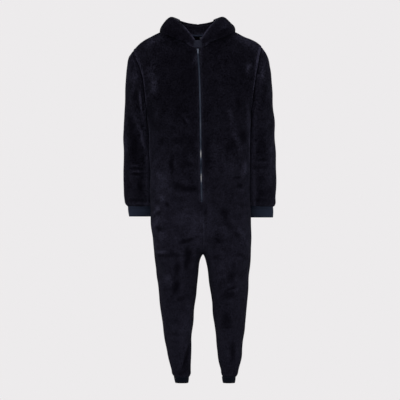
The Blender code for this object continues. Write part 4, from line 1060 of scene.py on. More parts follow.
def add_shell(piece, look, lip=1.0, inner_painted_light=0.0):
    """The solid wall between the relieved outer face and an inner face behind it.

    Free edges are closed by a half round; seamed edges are closed flat.
    """
    rows, columns = piece.points.shape[:2]
    count = rows * columns
    outer = piece.outer()
    inner = piece.points + piece.normals * (piece.form - piece.wall)[..., None]
    index = np.arange(count).reshape(rows, columns)
    if piece.ring:
        loops = [index[0], index[-1][::-1]]
    else:
        loops = [border_loop(index)]
    flat_out, flat_in = outer.reshape(-1, 3), inner.reshape(-1, 3)
    away = piece.away().reshape(-1, 3) * (piece.wall / 2 * lip)
    free = (~piece.seamed).reshape(-1, 1)
    points = [flat_out, flat_in]
    nap_and_painted_light = [piece.nap_and_painted_light.ravel(), np.broadcast_to(inner_painted_light, (rows, columns)).ravel()]
    quads = [grid_quads(rows, columns, piece.ring)]
    quads.append(quads[0][:, ::-1] + count)
    uv_grid = np.stack([piece.across, piece.from_top], axis=2).reshape(-1, 2)
    uv, next_free = [uv_grid, uv_grid], 2 * count
    for loop in loops:
        lines = [loop]
        for k in range(1, LIP_STEPS + 1):
            angle = np.pi * k / (LIP_STEPS + 1)
            middle, half = (flat_out + flat_in)[loop] / 2, (flat_out - flat_in)[loop] / 2
            line = middle + half * np.cos(angle) + (away * free)[loop] * np.sin(angle)
            points.append(line)
            nap_and_painted_light.append(piece.nap_and_painted_light.ravel()[loop])
            uv.append(uv_grid[loop])
            lines.append(np.arange(next_free, next_free + len(loop)))
            next_free += len(loop)
        lines.append(loop + count)
        quads.append(strip_quads(lines))
    wrap = 0.0
    if piece.ring:
        wrap = piece.across[0, -1] + np.linalg.norm(piece.points[0, 0] - piece.points[0, -1])
    made = build_mesh(
        piece.name + "_cloth",
        np.concatenate(points),
        np.concatenate(quads),
        piece.outward,
        np.concatenate(uv),
        wrap,
    )
    # Each point's pile lay with painted light and painted shade, read by the looks
    layer = made.data.attributes.new("nap_and_painted_light", "FLOAT", "POINT")
    layer.data.foreach_set("value", np.concatenate(nap_and_painted_light).astype(np.float32))
    made.data.set_sharp_from_angle(angle=SHELL_SHARP)
    made.data.materials.append(look)
    return made


def add_strip(name, front, thick, look):
    """A thin tape or patch: a grid seen from -Y with a back face that far behind it."""
    rows, columns = front.shape[:2]
    back = front + np.array((0, thick, 0))
    index = np.arange(rows * columns).reshape(rows, columns)
    loop = border_loop(index)
    quads = grid_quads(rows, columns)
    count = rows * columns
    quads = np.concatenate([quads, quads[:, ::-1] + count, strip_quads([loop, loop + count])])
    uv = np.stack([run_lengths(front, 1), run_lengths(front, 0)], axis=2).reshape(-1, 2)
    points = np.concatenate([front.reshape(-1, 3), back.reshape(-1, 3)])
    made = build_mesh(name, points, quads, -1, np.concatenate([uv, uv]))
    made.data.set_sharp_from_angle(angle=STRIP_SHARP)
    made.data.materials.append(look)
    return made


def add_capsules(name, starts, ends, out, radius, height, look, around):
    """Many short rounded bars at once, such as stitches or coil loops.

    Across a bar's length its radius follows the root of 1 - (2t - 1)^4, and out is the way its
    height points.
    """
    along = ends - starts
    length = np.linalg.norm(along, axis=1, keepdims=True)
    along = along / length
    side = unit(np.cross(along, out))
    up = np.cross(side, along)
    t = np.array(BAR_SHARES)
    swell = np.sqrt(np.maximum(1 - (2 * t - 1) ** 4, 0))
    angle = whole_turn(around)
    ring = (
        side[:, None, None] * (radius * np.cos(angle))[None, None, :, None]
        + up[:, None, None] * (height * np.sin(angle))[None, None, :, None]
    )
    middle = starts[:, None] + along[:, None] * (length[:, None] * t[None, :, None])
    points = middle[:, :, None] + ring * swell[None, :, None, None]
    per_bar = len(t) * around
    quads = grid_quads(len(t), around, ring=True)
    offsets = np.arange(len(starts)) * per_bar
    quads = (quads[None] + offsets[:, None, None]).reshape(-1, 4)
    made = build_mesh(name, points.reshape(-1, 3), quads, 1)
    clean(made)
    made.data.materials.append(look)
    return made


def clean(made):
    """Merges points that coincide and turns faces outwards."""
    shape = bmesh.new()
    shape.from_mesh(made.data)
    bmesh.ops.remove_doubles(shape, verts=shape.verts, dist=WELD)
    bmesh.ops.dissolve_degenerate(shape, edges=shape.edges, dist=SLIVER)
    bmesh.ops.recalc_face_normals(shape, faces=shape.faces)
    shape.to_mesh(made.data)
    shape.free()
    made.data.shade_smooth()


# ---------------------------------------------------------------- node materials


class Value:
    """One output socket; arithmetic on it adds Math nodes."""

    def __init__(self, look, socket):
        self.look, self.socket = look, socket

    def maths(self, operation, first, second):
        settings = {"operation": operation}
        return self.look.node("ShaderNodeMath", settings, {0: first, 1: second})

    def __add__(self, other):
        return self.maths("ADD", self, other)

    __radd__ = __add__

    def __sub__(self, other):
        return self.maths("SUBTRACT", self, other)

    def __mul__(self, other):
        return self.maths("MULTIPLY", self, other)

    __rmul__ = __mul__

    def clipped(self):
        return self.look.node("ShaderNodeClamp", {}, {0: self})


class Look:
    """A material and its Principled shader."""

    def __init__(self, name, **constants):
        self.material = bpy.data.materials.new(name)
        self.material.use_nodes = True
        self.tree = self.material.node_tree
        self.shader = self.tree.nodes["Principled BSDF"]
        for key, value in constants.items():
            self.shader.inputs[key.replace("_", " ")].default_value = value

    def node(self, kind, settings, sockets, output=0):
        made = self.tree.nodes.new(kind)
        for key, value in settings.items():
            setattr(made, key, value)
        for key, value in sockets.items():
            self.feed(made.inputs[key], value)
        return Value(self, made.outputs[output])

    def feed(self, socket, value):
        if isinstance(value, Value):
            self.tree.links.new(value.socket, socket)
        else:
            socket.default_value = value

    def position(self):
        return self.node("ShaderNodeTexCoord", {}, {}, "Object")

    def cloth_uv(self):
        return self.node("ShaderNodeUVMap", {"uv_map": "cloth"}, {})

    def attribute(self, name):
        return self.node("ShaderNodeAttribute", {"attribute_name": name}, {}, "Fac")

    def noise(self, vector, scale, detail, roughness=0.5):
        sockets = {"Vector": vector, "Scale": scale, "Detail": detail, "Roughness": roughness}
        return self.node("ShaderNodeTexNoise", {}, sockets)

    def parts(self, vector):
        made = self.tree.nodes.new("ShaderNodeSeparateXYZ")
        self.feed(made.inputs[0], vector)
        return [Value(self, socket) for socket in made.outputs]

    def wave(self, value, period):
        """A sine of a length in metres, between 0 and 1."""
        angle = value * (2 * np.pi / period)
        return self.node("ShaderNodeMath", {"operation": "SINE"}, {0: angle}) * 0.5 + 0.5

    def mix(self, share, first, second):
        return self.node("ShaderNodeMix", {"data_type": "RGBA"}, {0: share, 6: first, 7: second}, 2)

    def bumped(self, height, distance, strength):
        sockets = {"Height": height, "Distance": distance, "Strength": strength}
        self.feed(self.shader.inputs["Normal"], self.node("ShaderNodeBump", {}, sockets))

    def colour(self, value):
        self.feed(self.shader.inputs["Base Color"], value)

    def rough(self, value):
        self.feed(self.shader.inputs["Roughness"], value)


def risen(height, start, full):
    """0 up to the start and 1 from full upwards, both in metres."""
    return ((height - start) * (1 / (full - start))).clipped()


def plush_look():
    """Dyed plush fleece: clumped short pile that lies lighter and darker in patches, with painted
    light and painted shade from its points.
    """
    look = Look(
        "plush_navy",
        Sheen_Weight=0.015,
        Sheen_Roughness=0.5,
        Sheen_Tint=(0.50, 0.56, 0.80, 1),
        Specular_IOR_Level=0.01,
    )
    place = look.position()
    broad = look.noise(place, 9.0, 2.0)
    middle = look.noise(place, 34.0, 3.0, 0.6)
    clumps = look.noise(place, 170.0, 3.0, 0.65)
    tufts = look.noise(place, 300.0, 1.0)
    pile = look.noise(place, 620.0, 2.0, 0.6)
    # The pile's lay with painted light and painted shade, from each point
    lay_and_painted_light = look.attribute("nap_and_painted_light")
    lightness = look.node("ShaderNodeMath", {"operation": "POWER"}, {0: 5.0, 1: lay_and_painted_light})
    *_, height = look.parts(place)
    clumped = risen(height, -0.75, -0.25) * 2.9 + 2.3
    patched = risen(height, -1.2, -1.0) * 1.1 + 0.6
    fine = (clumps - 0.5) * clumped + (tufts - 0.5) * 2.2
    grain = 1 + (broad - 0.5) * 0.8 + (middle - 0.5) * patched + fine
    tone = lightness * 0.225 * grain
    dark, light = (0.0008, 0.0006, 0.0014, 1), (0.0186, 0.0182, 0.0299, 1)
    look.colour(look.mix(tone.clipped(), dark, light))
    look.rough(0.82 + 0.16 * pile)
    look.bumped(clumps * 0.9 + pile * 0.35 + middle * 0.8, 0.0035, 0.9)
    return look.material


def rib_look(name, dark, light):
    """Fine rib knit: upright wales with stitches across them."""
    look = Look(
        name,
        Sheen_Weight=0.015,
        Sheen_Roughness=0.4,
        Sheen_Tint=(0.6, 0.7, 0.9, 1),
        Specular_IOR_Level=0.02,
    )
    across, down, _ = look.parts(look.cloth_uv())
    wale = look.wave(across, 0.0021)
    stitch = look.wave(down, 0.0015)
    fibre = look.noise(look.position(), 900.0, 2.0)
    worn = look.noise(look.position(), 40.0, 2.0)
    tone = 0.25 + wale * 0.45 + stitch * 0.1 + (fibre - 0.5) * 0.4 + (worn - 0.5) * 0.5
    # Painted light and painted shade of the cuffs, from their points
    tone = tone + look.attribute("nap_and_painted_light")
    look.colour(look.mix(tone.clipped(), dark, light))
    look.rough(0.78 + 0.12 * fibre)
    look.bumped(wale + stitch * 0.3 + fibre * 0.25, 0.0007, 0.8)
    return look.material


def tape_look(name, dark, light, across_period, down_period):
    """Woven tape: a herringbone of small floats with a fuzzy edge to each thread."""
    look = Look(name, Sheen_Weight=0.02, Sheen_Roughness=0.4, Specular_IOR_Level=0.05)
    across, down, _ = look.parts(look.cloth_uv())
    rows = look.wave(across, across_period)
    slant = look.wave(down + across * 0.6, down_period)
    fibre = look.noise(look.position(), 1100.0, 2.0)
    tone = 0.2 + rows * 0.3 + slant * 0.35 + (fibre - 0.5) * 0.4
    look.colour(look.mix(tone.clipped(), dark, light))
    look.rough(0.62 + 0.2 * fibre)
    look.bumped(rows * 0.5 + slant + fibre * 0.3, 0.0003, 0.8)
    return look.material


def coil_look():
    """Polyester coil: dyed slate, painted lighter or darker along its length, and painted glints of
    pale grey past a tone of 1.
    """
    look = Look("zip_coil", Specular_IOR_Level=0.06)
    grain = look.noise(look.position(), 500.0, 2.0)
    tone = look.attribute("tone") + (grain - 0.5) * 0.3
    # Painted light along the coil, then painted glints towards pale grey
    dyed = look.mix(tone.clipped(), (0.012, 0.018, 0.032, 1), (0.060, 0.074, 0.108, 1))
    look.colour(look.mix((tone - 1.0).clipped(), dyed, (0.34, 0.34, 0.35, 1)))
    look.rough(0.36 + 0.2 * grain)
    look.bumped(grain, 0.0002, 0.5)
    return look.material


def metal_look():
    """Enamelled zinc: dark blue grey, rubbed towards bare metal in places."""
    look = Look("zip_metal", Metallic=0.45, Coat_Weight=0.1, Coat_Roughness=0.3)
    place = look.position()
    worn = look.noise(place, 260.0, 3.0, 0.6)
    grain = look.noise(place, 1500.0, 2.0)
    tone = (worn - 0.42) * 3.0
    look.colour(look.mix(tone.clipped(), (0.028, 0.037, 0.058, 1), (0.120, 0.145, 0.190, 1)))
    look.rough(0.34 + 0.22 * grain)
    look.bumped(grain, 0.0001, 0.5)
    return look.material


def thread_look():
    """Sewing thread: two plies twisted together, a shade lighter than the cloth."""
    look = Look("thread_navy", Sheen_Weight=0.02, Sheen_Roughness=0.4, Specular_IOR_Level=0.05)
    ply = look.noise(look.position(), 1400.0, 1.0)
    look.colour(look.mix(ply, (0.004, 0.005, 0.009, 1), (0.012, 0.014, 0.022, 1)))
    look.rough(0.55 + 0.2 * ply)
    look.bumped(ply, 0.0002, 0.7)
    return look.material


def label_look():
    """Blank satin label: a fine weave, paler than the tape behind it."""
    look = Look("label_satin", Specular_IOR_Level=0.5)
    across, down, _ = look.parts(look.cloth_uv())
    weave = look.wave(down, 0.0006) * 0.5 + look.wave(across, 0.0009) * 0.3
    fibre = look.noise(look.position(), 1200.0, 2.0)
    tone = weave + fibre * 0.2
    look.colour(look.mix(tone.clipped(), (0.009, 0.012, 0.020, 1), (0.024, 0.030, 0.046, 1)))
    look.rough(0.36 + 0.2 * fibre)
    look.bumped(weave, 0.0001, 0.6)
    return look.material


def floor_look():
    look = Look("studio_floor", Specular_IOR_Level=0.1)
    grain = look.noise(look.position(), 6.0, 2.0)
    look.colour(look.mix(grain, (0.80, 0.785, 0.795, 1), (0.84, 0.825, 0.835, 1)))
    look.rough(0.85 + 0.1 * grain)
    return look.material


PLUSH, COIL = plush_look(), coil_look()
WRIST_RIB = rib_look("wrist_rib_knit", (0.0078, 0.0100, 0.0175, 1), (0.0170, 0.0220, 0.0380, 1))
# The same rib knit as at the wrists, painted darker at the ankles as painted shade
ANKLE_RIB_PAINTED_DARKER = rib_look("ankle_rib_knit_painted_darker", (0.0014, 0.0018, 0.0035, 1), (0.0040, 0.0052, 0.0095, 1))
METAL, THREAD, LABEL = metal_look(), thread_look(), label_look()
# The zip tape's own lighter navy, raised further as painted light where it lies in shade between
# the fronts
TAPE_SHADES = (0.032, 0.045, 0.072, 1), (0.080, 0.105, 0.158, 1)
TAPE = tape_look("zip_tape_weave", *TAPE_SHADES, 0.0022, 0.0016)
GUARD_SHADES = (0.0062, 0.0068, 0.0118, 1), (0.0165, 0.0180, 0.0295, 1)
GUARD = tape_look("zip_guard_twill", *GUARD_SHADES, 0.0022, 0.0016)
# The neck twill's own navy, made lighter as painted light against the shade inside the neck
NECK_SHADES = (0.011, 0.0145, 0.027, 1), (0.028, 0.036, 0.061, 1)
NECK_BAND = tape_look("neck_twill", *NECK_SHADES, 0.003, 0.0012)


# ---------------------------------------------------------------- the garment's pieces


def declare(made, node):
    """A sheet piece that stands for its solid and rides on the garment."""
    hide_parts(node)
    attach(made, "garment")


pieces, cloth = {}, {}
for side, s in SIDES.items():
    forms = {face: panel_form(side, face) for face in ("front", "back")}
    for face, form in forms.items():
        name = f"{face}_{side}"
        cloth[name] = Cloth(name, "body", form.copy(), s * facing(face), PLUSH_WALL)
    arm = sleeve_form(side)
    cloth[f"sleeve_{side}"] = Cloth(f"sleeve_{side}", "sleeve", arm.copy(), s, PLUSH_WALL, True)
    y_wrist = SLEEVE_RINGS[-1][7]
    band = cuff_form(
        arm[-1], ring_turns(), WRIST_HEM[side], y_wrist, WRIST_HALF_DEPTH, WRIST_HEM_Z[side],
        WRIST_ROWS,
    )
    cloth[f"wrist_cuff_{side}"] = Cloth(f"wrist_cuff_{side}", "cuff", band, s, RIB_WALL, True)
    ring, turns = ankle_ring(forms["front"], forms["back"])
    y_ankle = through(DEPTH, ANKLE_Z, 3)
    band = cuff_form(
        ring, turns, ANKLE_HEM[side], y_ankle, ANKLE_HALF_DEPTH, ANKLE_HEM_Z, ANKLE_ROWS
    )
    cloth[f"ankle_cuff_{side}"] = Cloth(f"ankle_cuff_{side}", "cuff", band, s, RIB_WALL, True)
    form, hood_stations = hood_form(side, forms["front"], forms["back"])
    cloth[f"hood_{side}"] = Cloth(f"hood_{side}", "hood", form, s, PLUSH_WALL)
join_seams(list(cloth.values()))

for side in SIDES:
    for face in ("front", "back"):
        relieve_panel(cloth[f"{face}_{side}"], side, face)
    relieve_sleeve(cloth[f"sleeve_{side}"], side)
    relieve_hood(cloth[f"hood_{side}"], hood_stations)
    relieve_cuff(cloth[f"wrist_cuff_{side}"], crown=1.2, hem_shade=0.4)
    # Painted light on the wrist cuffs' inner sides, which lie in shade by the body
    lit = WRIST_INNER_LIGHT * fade(-np.cos(ring_turns()), *WRIST_INNER)
    cloth[f"wrist_cuff_{side}"].nap_and_painted_light += lit
    relieve_cuff(cloth[f"ankle_cuff_{side}"], crown=0.8, hem_shade=0.9)

CUFF_LOOKS = {"wrist_cuff": WRIST_RIB, "ankle_cuff": ANKLE_RIB_PAINTED_DARKER}
for name, piece in cloth.items():
    look = CUFF_LOOKS.get(name.rsplit("_", 1)[0], PLUSH)
    # Painted light on the inner faces of plush; none inside the cuffs
    inner_painted_light = INNER_PAINTED_LIGHT if look is PLUSH else 0.0
    if piece.family == "hood":
        # Inside the hood, painted light low down and painted shade high up
        height = piece.points[..., 2]
        inner_painted_light = INNER_PAINTED_LIGHT + HOOD_INSIDE_LIGHT * fade(height, *HOOD_INSIDE_LOW)
        inner_painted_light = inner_painted_light - HOOD_INSIDE_SHADE * fade(height, *HOOD_INSIDE_HIGH)
    pieces[name] = add_shell(piece, look, inner_painted_light=inner_painted_light)
for name in cloth:
    kind, side = name.rsplit("_", 1)
    declare(pieces[name], name)


# ---------------------------------------------------------------- zip

CHAIN_HALF = 2.8
CHAIN_THICK = 2.0
TAPE_REACH = 14.0
TAPE_WALL = 0.9
TAPE_ROWS, TAPE_COLUMNS = 160, 8
TOOTH_PITCH = 1.5
# The loops stop this far from the chain's ends, reach past its middle and slant
COIL_TOP_GAP, COIL_LOW_GAP = 1.2, 0.8
COIL_OVERLAP, COIL_SLANT = 0.55, 0.25
COIL_RADIUS, COIL_HEIGHT = 0.62, 0.98
STOP_RADIUS = 1.0
STOP_END_DZ, STOP_BARS_DZ = -0.5, (-0.9, -2.1)
SLIDER_Z = -51.5
# Painted light along the coil, darker or lighter by height, with painted glints past a tone of 1:
# z, tone
COIL_PAINTED_LIGHT = (
    (-60, 0.25), (-120, 0.35), (-180, 0.55), (-240, 0.9), (-300, 0.6), (-340, 1.0), (-410, 0.85),
    (-440, 0.4), (-458, 0.6), (-470, 1.3), (-480, 2.0), (-492, 2.0), (-502, 1.2), (-513, 0.5),
    (-556, 0.5), (-576, 1.75), (-592, 1.75), (-610, 0.6), (-660, 0.6), (-676, 0.2),
)


def mesh_points(made):
    """An object's corner points in millimetres."""
    points = np.empty(len(made.data.vertices) * 3)
    made.data.vertices.foreach_get("co", points)
    return points.reshape(-1, 3) / MM


def node_points(name):
    return mesh_points(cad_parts[name])


def front_line(points):
    """For each height among the points, the mean x and the foremost y, from the top down."""
    heights, group = np.unique(np.round(points[:, 2], 2), return_inverse=True)
    x, y = np.zeros(len(heights)), np.full(len(heights), np.inf)
    np.add.at(x, group, points[:, 0])
    np.minimum.at(y, group, points[:, 1])
    return np.stack([x / np.bincount(group), y, heights], axis=1)[::-1]


def chain_middles():
    """The chain's middle on its front face: a row of each side's corners gives one point."""
    points = node_points("zip_chain")
    left = front_line(points[points[:, 0] < centre_x(points[:, 2])])
    right = front_line(points[points[:, 0] >= centre_x(points[:, 2])])
    return (left + right) / 2


middles = chain_middles()


def chain_at(z):
    """Point on the chain's front at a height."""
    down = middles[::-1]
    x, y = (np.interp(z, down[:, 2], down[:, axis]) for axis in (0, 1))
    return np.stack([x, y, z], axis=-1)


def tape_form(side):
    """Level rows from the chain outwards, at the tape's own distance behind the fronts."""
    s, points = SIDES[side], node_points(f"zip_tape_{side}")
    dx = abs(points[:, 0] - centre_x(points[:, 2]))
    near = front_line(points[dx < CHAIN_HALF + 1])[::-1]
    far = front_line(points[dx > CHAIN_HALF + 1])[::-1]
    low, high = max(near[0, 2], far[0, 2]), min(near[-1, 2], far[-1, 2])
    z = np.linspace(high, low, TAPE_ROWS)[:, None]
    share = np.linspace(0, 1, TAPE_COLUMNS)
    reach = SEAM_GAP + (TAPE_REACH - SEAM_GAP) * share
    y_near = np.interp(z, near[:, 2], near[:, 1])
    y_far = np.interp(z, far[:, 2], far[:, 1])
    y = y_near + (y_far - y_near) * share
    x = centre_x(z) + s * reach
    grid = np.stack([x, y, np.broadcast_to(z, x.shape)], axis=2)
    return grid if s > 0 else grid[:, ::-1]


for side in SIDES:
    name = f"zip_tape_{side}"
    pieces[name] = add_strip(f"{name}_cloth", tape_form(side), TAPE_WALL, TAPE)
    declare(pieces[name], name)


def coil_ends(side):
    """Where each coil loop starts at the tape and ends past the middle, slanting upwards."""
    s = SIDES[side]
    top, low = middles[0, 2] - COIL_TOP_GAP, middles[-1, 2] + COIL_LOW_GAP
    z = np.arange(top, low, -TOOTH_PITCH) - (TOOTH_PITCH / 2 if s > 0 else 0)
    middle = chain_at(z)
    lift = CHAIN_THICK / 2
    starts = middle + np.array((s * CHAIN_HALF, lift, -COIL_SLANT))
    ends = middle + np.array((-s * COIL_OVERLAP, lift, COIL_SLANT))
    return starts, ends


starts, ends = (np.concatenate(both) for both in zip(coil_ends("left"), coil_ends("right")))
forward = np.array((0.0, -1.0, 0.0))
coil = add_capsules("zip_coil", starts, ends, forward, COIL_RADIUS, COIL_HEIGHT, COIL, around=6)
# Painted light and painted glints along the coil by height
layer = coil.data.attributes.new("tone", "FLOAT", "POINT")
layer.data.foreach_set("value", through(COIL_PAINTED_LIGHT, mesh_points(coil)[:, 2]).astype(np.float32))
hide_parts("zip_chain")
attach(coil, "garment")

# The stop is a small clamp over the last loops: bars from one side of the chain to the other
low_end = middles[-1] + np.array((0, CHAIN_THICK / 2, STOP_END_DZ))
starts = np.array([low_end + (-CHAIN_HALF, 0, dz) for dz in STOP_BARS_DZ])
ends = np.array([low_end + (CHAIN_HALF, 0, dz) for dz in STOP_BARS_DZ])
stop = add_capsules("zip_stop", starts, ends, forward, STOP_RADIUS, COIL_HEIGHT, COIL, around=16)
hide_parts("zip_bottom_stop")
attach(stop, "garment")


# ---------------------------------------------------------------- slider and pull tab

SLIDER_LENGTH = 10.0
SLIDER_HALF = 4.4
SLIDER_PLATE = 1.5
SLIDER_CLEARANCE = 0.35
BRIDGE_HOLE = 1.9
BRIDGE_BAR = 0.8
TAB_HALF = 2.9
TAB_LENGTH = 17.0
TAB_THICK = 1.1
TAB_BAR = 1.2
TAB_EYE_HALF = 1.7
TAB_EYE_END = 4.0
TAB_WAIST = 0.16
TAB_AROUND, TAB_EDGE_AROUND = 96, 24
# Powers of sines and cosines: the smaller, the squarer
TAB_BOXY, TAB_EYE_BOXY, TAB_EDGE_BOXY, TAB_FACE_BOXY = 0.35, 0.4, 0.3, 0.6
BLOCK_BOXY, ARCH_BOXY = 0.4, 0.55
BLOCK_AROUND, BLOCK_RINGS = 28, 15
SLIDER_WAIST = 0.16
# The rails beside the chain: half width, inset from the sides and the ends, y and lift
RAIL_HALF, RAIL_INSET, RAIL_SHORTER = 0.55, 0.62, 0.9
RAIL_Y, RAIL_LIFT = -0.3, 0.2
# The bridge: half its span, how deep it stands in the plate, half its width and its points
ARCH_HALF, ARCH_SUNK, ARCH_WIDE, ARCH_STEPS = 2.45, 0.3, 0.7, 25
BAR_AROUND = 12


def slider_axes():
    """The slider's origin on the chain and its three directions: across, up and out."""
    k = int(np.argmax(middles[:, 2] < SLIDER_Z))
    upper, lower = middles[k - 1], middles[k]
    share = (upper[2] - SLIDER_Z) / (upper[2] - lower[2])
    origin, up = upper + (lower - upper) * share, unit(upper - lower)
    out = unit(np.cross((1.0, 0.0, 0.0), up))
    return origin, np.stack([np.cross(up, out), up, out])


slider_origin, slider_turn = slider_axes()


def block(half, middle, waist=0.0):
    """A rounded slab: sines and cosines raised to a small power, drawn in at the waist."""
    u = np.linspace(-np.pi / 2, np.pi / 2, BLOCK_RINGS)[:, None]
    v = whole_turn(BLOCK_AROUND)[None]
    level, upright = signed_power(np.cos(u), BLOCK_BOXY), signed_power(np.sin(u), BLOCK_BOXY)
    x = half[0] * level * signed_power(np.cos(v), BLOCK_BOXY)
    y = half[1] * level * signed_power(np.sin(v), BLOCK_BOXY)
    z = half[2] * upright * np.ones_like(v)
    to_end = (y / half[1]) ** 2
    x = x * (1 - waist * (1 - to_end) * 0.5 - waist * (y < 0) * to_end)
    faces = grid_quads(BLOCK_RINGS, BLOCK_AROUND, ring=True)
    return np.stack([x, y, z], axis=2) + np.array(middle), faces


def swept(path, across, thick, wide):
    """A tube of oval section along a path in one plane; across is the plane's normal."""
    along = unit(np.gradient(path, axis=0))
    side = np.cross(along, across)
    angle = whole_turn(BAR_AROUND)
    ring = side[:, None] * (thick * np.cos(angle))[None, :, None]
    ring = ring + np.array(across) * (wide * np.sin(angle))[None, :, None]
    return path[:, None] + ring, grid_quads(len(path), BAR_AROUND, ring=True)


def boxy_oval(angle, half_x, top, low, boxy):
    """An oval with near-square corners, from a top y to a low y."""
    x = half_x * signed_power(np.cos(angle), boxy)
    y = (top + low) / 2 + (top - low) / 2 * signed_power(np.sin(angle), boxy)
    return np.stack([x, y], axis=1)


def holed_plate():
    """The tab: an outline round a hole, carried over a rounded edge from front to back."""
    angle, turn = whole_turn(TAB_AROUND), whole_turn(TAB_EDGE_AROUND)
    lower = np.clip(-np.sin(angle) + 0.2, 0, 1) * np.clip(np.sin(angle) + 1, 0, 1)
    half = TAB_HALF * (1 - TAB_WAIST * lower)
    outer = boxy_oval(angle, half, TAB_BAR / 2, -TAB_LENGTH, TAB_BOXY)
    inner = boxy_oval(angle, TAB_EYE_HALF, -TAB_BAR / 2, -TAB_EYE_END, TAB_EYE_BOXY)
    share = 0.5 + 0.5 * signed_power(np.cos(turn), TAB_EDGE_BOXY)
    height = TAB_THICK / 2 * signed_power(np.sin(turn), TAB_FACE_BOXY)
    flat = inner[None] + (outer - inner)[None] * share[:, None, None]
    z = np.broadcast_to(height[:, None, None], flat.shape[:2] + (1,))
    faces = grid_quads(TAB_EDGE_AROUND, TAB_AROUND, ring=True, tube=True)
    return np.concatenate([flat, z], axis=2), faces


def on_slider(parts, name, lift=0.0):
    """Joins parts given in the slider's own directions and puts them in place."""
    points, quads, start = [], [], 0
    for part, faces in parts:
        points.append(part.reshape(-1, 3))
        quads.append(faces + start)
        start += len(points[-1])
    local = np.concatenate(points) + np.array((0, 0, lift))
    made = build_mesh(name, slider_origin + local @ slider_turn, np.concatenate(quads))
    clean(made)
    made.data.materials.append(METAL)
    return made


plate_middle = SLIDER_CLEARANCE + SLIDER_PLATE / 2
rail = CHAIN_THICK - 2 * SEAM_GAP
plate_half = (SLIDER_HALF, SLIDER_LENGTH / 2, SLIDER_PLATE / 2)
slider_parts = [block(plate_half, (0, 0, plate_middle), SLIDER_WAIST)]
rail_half = (RAIL_HALF, SLIDER_LENGTH / 2 - RAIL_SHORTER, (SLIDER_CLEARANCE + rail) / 2)
for s in SIDES.values():
    rail_z = (SLIDER_CLEARANCE - rail) / 2 + RAIL_LIFT
    slider_parts.append(block(rail_half, (s * (SLIDER_HALF - RAIL_INSET), RAIL_Y, rail_z)))
swing = np.linspace(0, np.pi, ARCH_STEPS)
arch_top = SLIDER_CLEARANCE + SLIDER_PLATE
rise = BRIDGE_HOLE + BRIDGE_BAR / 2
arch_z = arch_top - ARCH_SUNK + (rise + ARCH_SUNK) * np.sin(swing) ** ARCH_BOXY
arch = np.stack([swing * 0, ARCH_HALF * np.cos(swing), arch_z], axis=1)
slider_parts.append(swept(arch, (1.0, 0.0, 0.0), BRIDGE_BAR / 2, ARCH_WIDE))
slider = on_slider(slider_parts, "zip_slider")
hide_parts("slider")
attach(slider, "garment")
tab = on_slider([holed_plate()], "zip_pull_tab", arch_top + BRIDGE_HOLE / 2)
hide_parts("pull_tab")
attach(tab, "pull_tab")


# ---------------------------------------------------------------- trim inside the neck

GUARD_REACH = 0.15
GUARD_CLEARANCE = 0.6
GUARD_WALL = 2.0
GUARD_TOP_ROW = 6 * (HOOD_ROWS - 1) // HOOD_POINTS
GUARD_ROW_STEP = 3
GUARD_COLUMNS = 7
NECK_TAPE_HALF = 5.0
NECK_TAPE_WALL = 0.8
NECK_TAPE_CLEARANCE = 0.1
NECK_TAPE_STEPS = 4
LABEL_THICK = 0.5
LABEL_CURL = 0.5
LABEL_ROWS, LABEL_COLUMNS = 12, 9


def inner_face(piece):
    return piece.points - piece.normals * piece.wall


def guard_form():
    """Rows between the hood's front ends, a little behind their inner faces."""
    reach = int(np.searchsorted(hood_stations, 1.0))
    rows = []
    for side in ("left", "right"):
        ends = inner_face(cloth[f"hood_{side}"])[: GUARD_TOP_ROW + 1 : GUARD_ROW_STEP]
        far = ends[:, 0] + (ends[:, reach] - ends[:, 0]) * GUARD_REACH
        rows += [far, ends[:, 0]]
    far_left, left, far_right, right = rows
    share = np.linspace(0, 1, GUARD_COLUMNS)[None, 1:-1, None]
    middle = left[:, None] + (right - left)[:, None] * share
    grid = np.concatenate(
        [far_left[:, None], left[:, None], middle, right[:, None], far_right[:, None]], axis=1
    )
    return grid[::-1] + np.array((0, GUARD_CLEARANCE, 0))


guard = add_strip("zip_guard_cloth", guard_form(), GUARD_WALL, GUARD)
declare(guard, "zip_guard")


def neck_band():
    """A band that follows the back neck seam inside, half of it on the hood."""
    columns, normals = [], []
    for side in ("left", "right"):
        back, over = cloth[f"back_{side}"], cloth[f"hood_{side}"]
        back_in, over_in = inner_face(back), inner_face(over)
        count = int(np.searchsorted(PANEL_SHARES, NECK_SHARE - 1)) + 1
        picked = np.arange(0, count, 2)
        seam = back_in[0, picked]
        low_row = int(np.searchsorted(back.from_top[:, 0], NECK_TAPE_HALF + 1))
        high_row = int(np.searchsorted(over.from_top[:, -1], NECK_TAPE_HALF + 1))
        below = unit(back_in[low_row, picked] - seam) * NECK_TAPE_HALF
        met = over_in.shape[1] - 1 - picked
        above = unit(over_in[high_row, met] - over_in[0, met])
        inward = -back.normals[0, picked] * (SEAM_GAP + NECK_TAPE_CLEARANCE)
        share = np.linspace(0, 1, NECK_TAPE_STEPS)[:, None, None]
        upper = seam + above * NECK_TAPE_HALF * (1 - share[:-1])
        lower = seam + below * share
        band = np.concatenate([upper, lower]) + inward
        order = slice(None, None, -1) if side == "left" else slice(1, None)
        columns.append(band[:, order])
        normals.append(np.broadcast_to(back.normals[0, picked], band.shape)[:, order])
    return np.concatenate(columns, axis=1), np.concatenate(normals, axis=1)


band, band_normals = neck_band()
neck_tape = Cloth("neck_tape", "trim", band, -1, NECK_TAPE_WALL)
neck_tape.normals = -band_normals
neck_tape.points = band - band_normals * NECK_TAPE_WALL
neck_tape.seamed = np.zeros(band.shape[:2], bool)
neck_tape_piece = add_shell(neck_tape, NECK_BAND, 0.5)
declare(neck_tape_piece, "neck_tape")

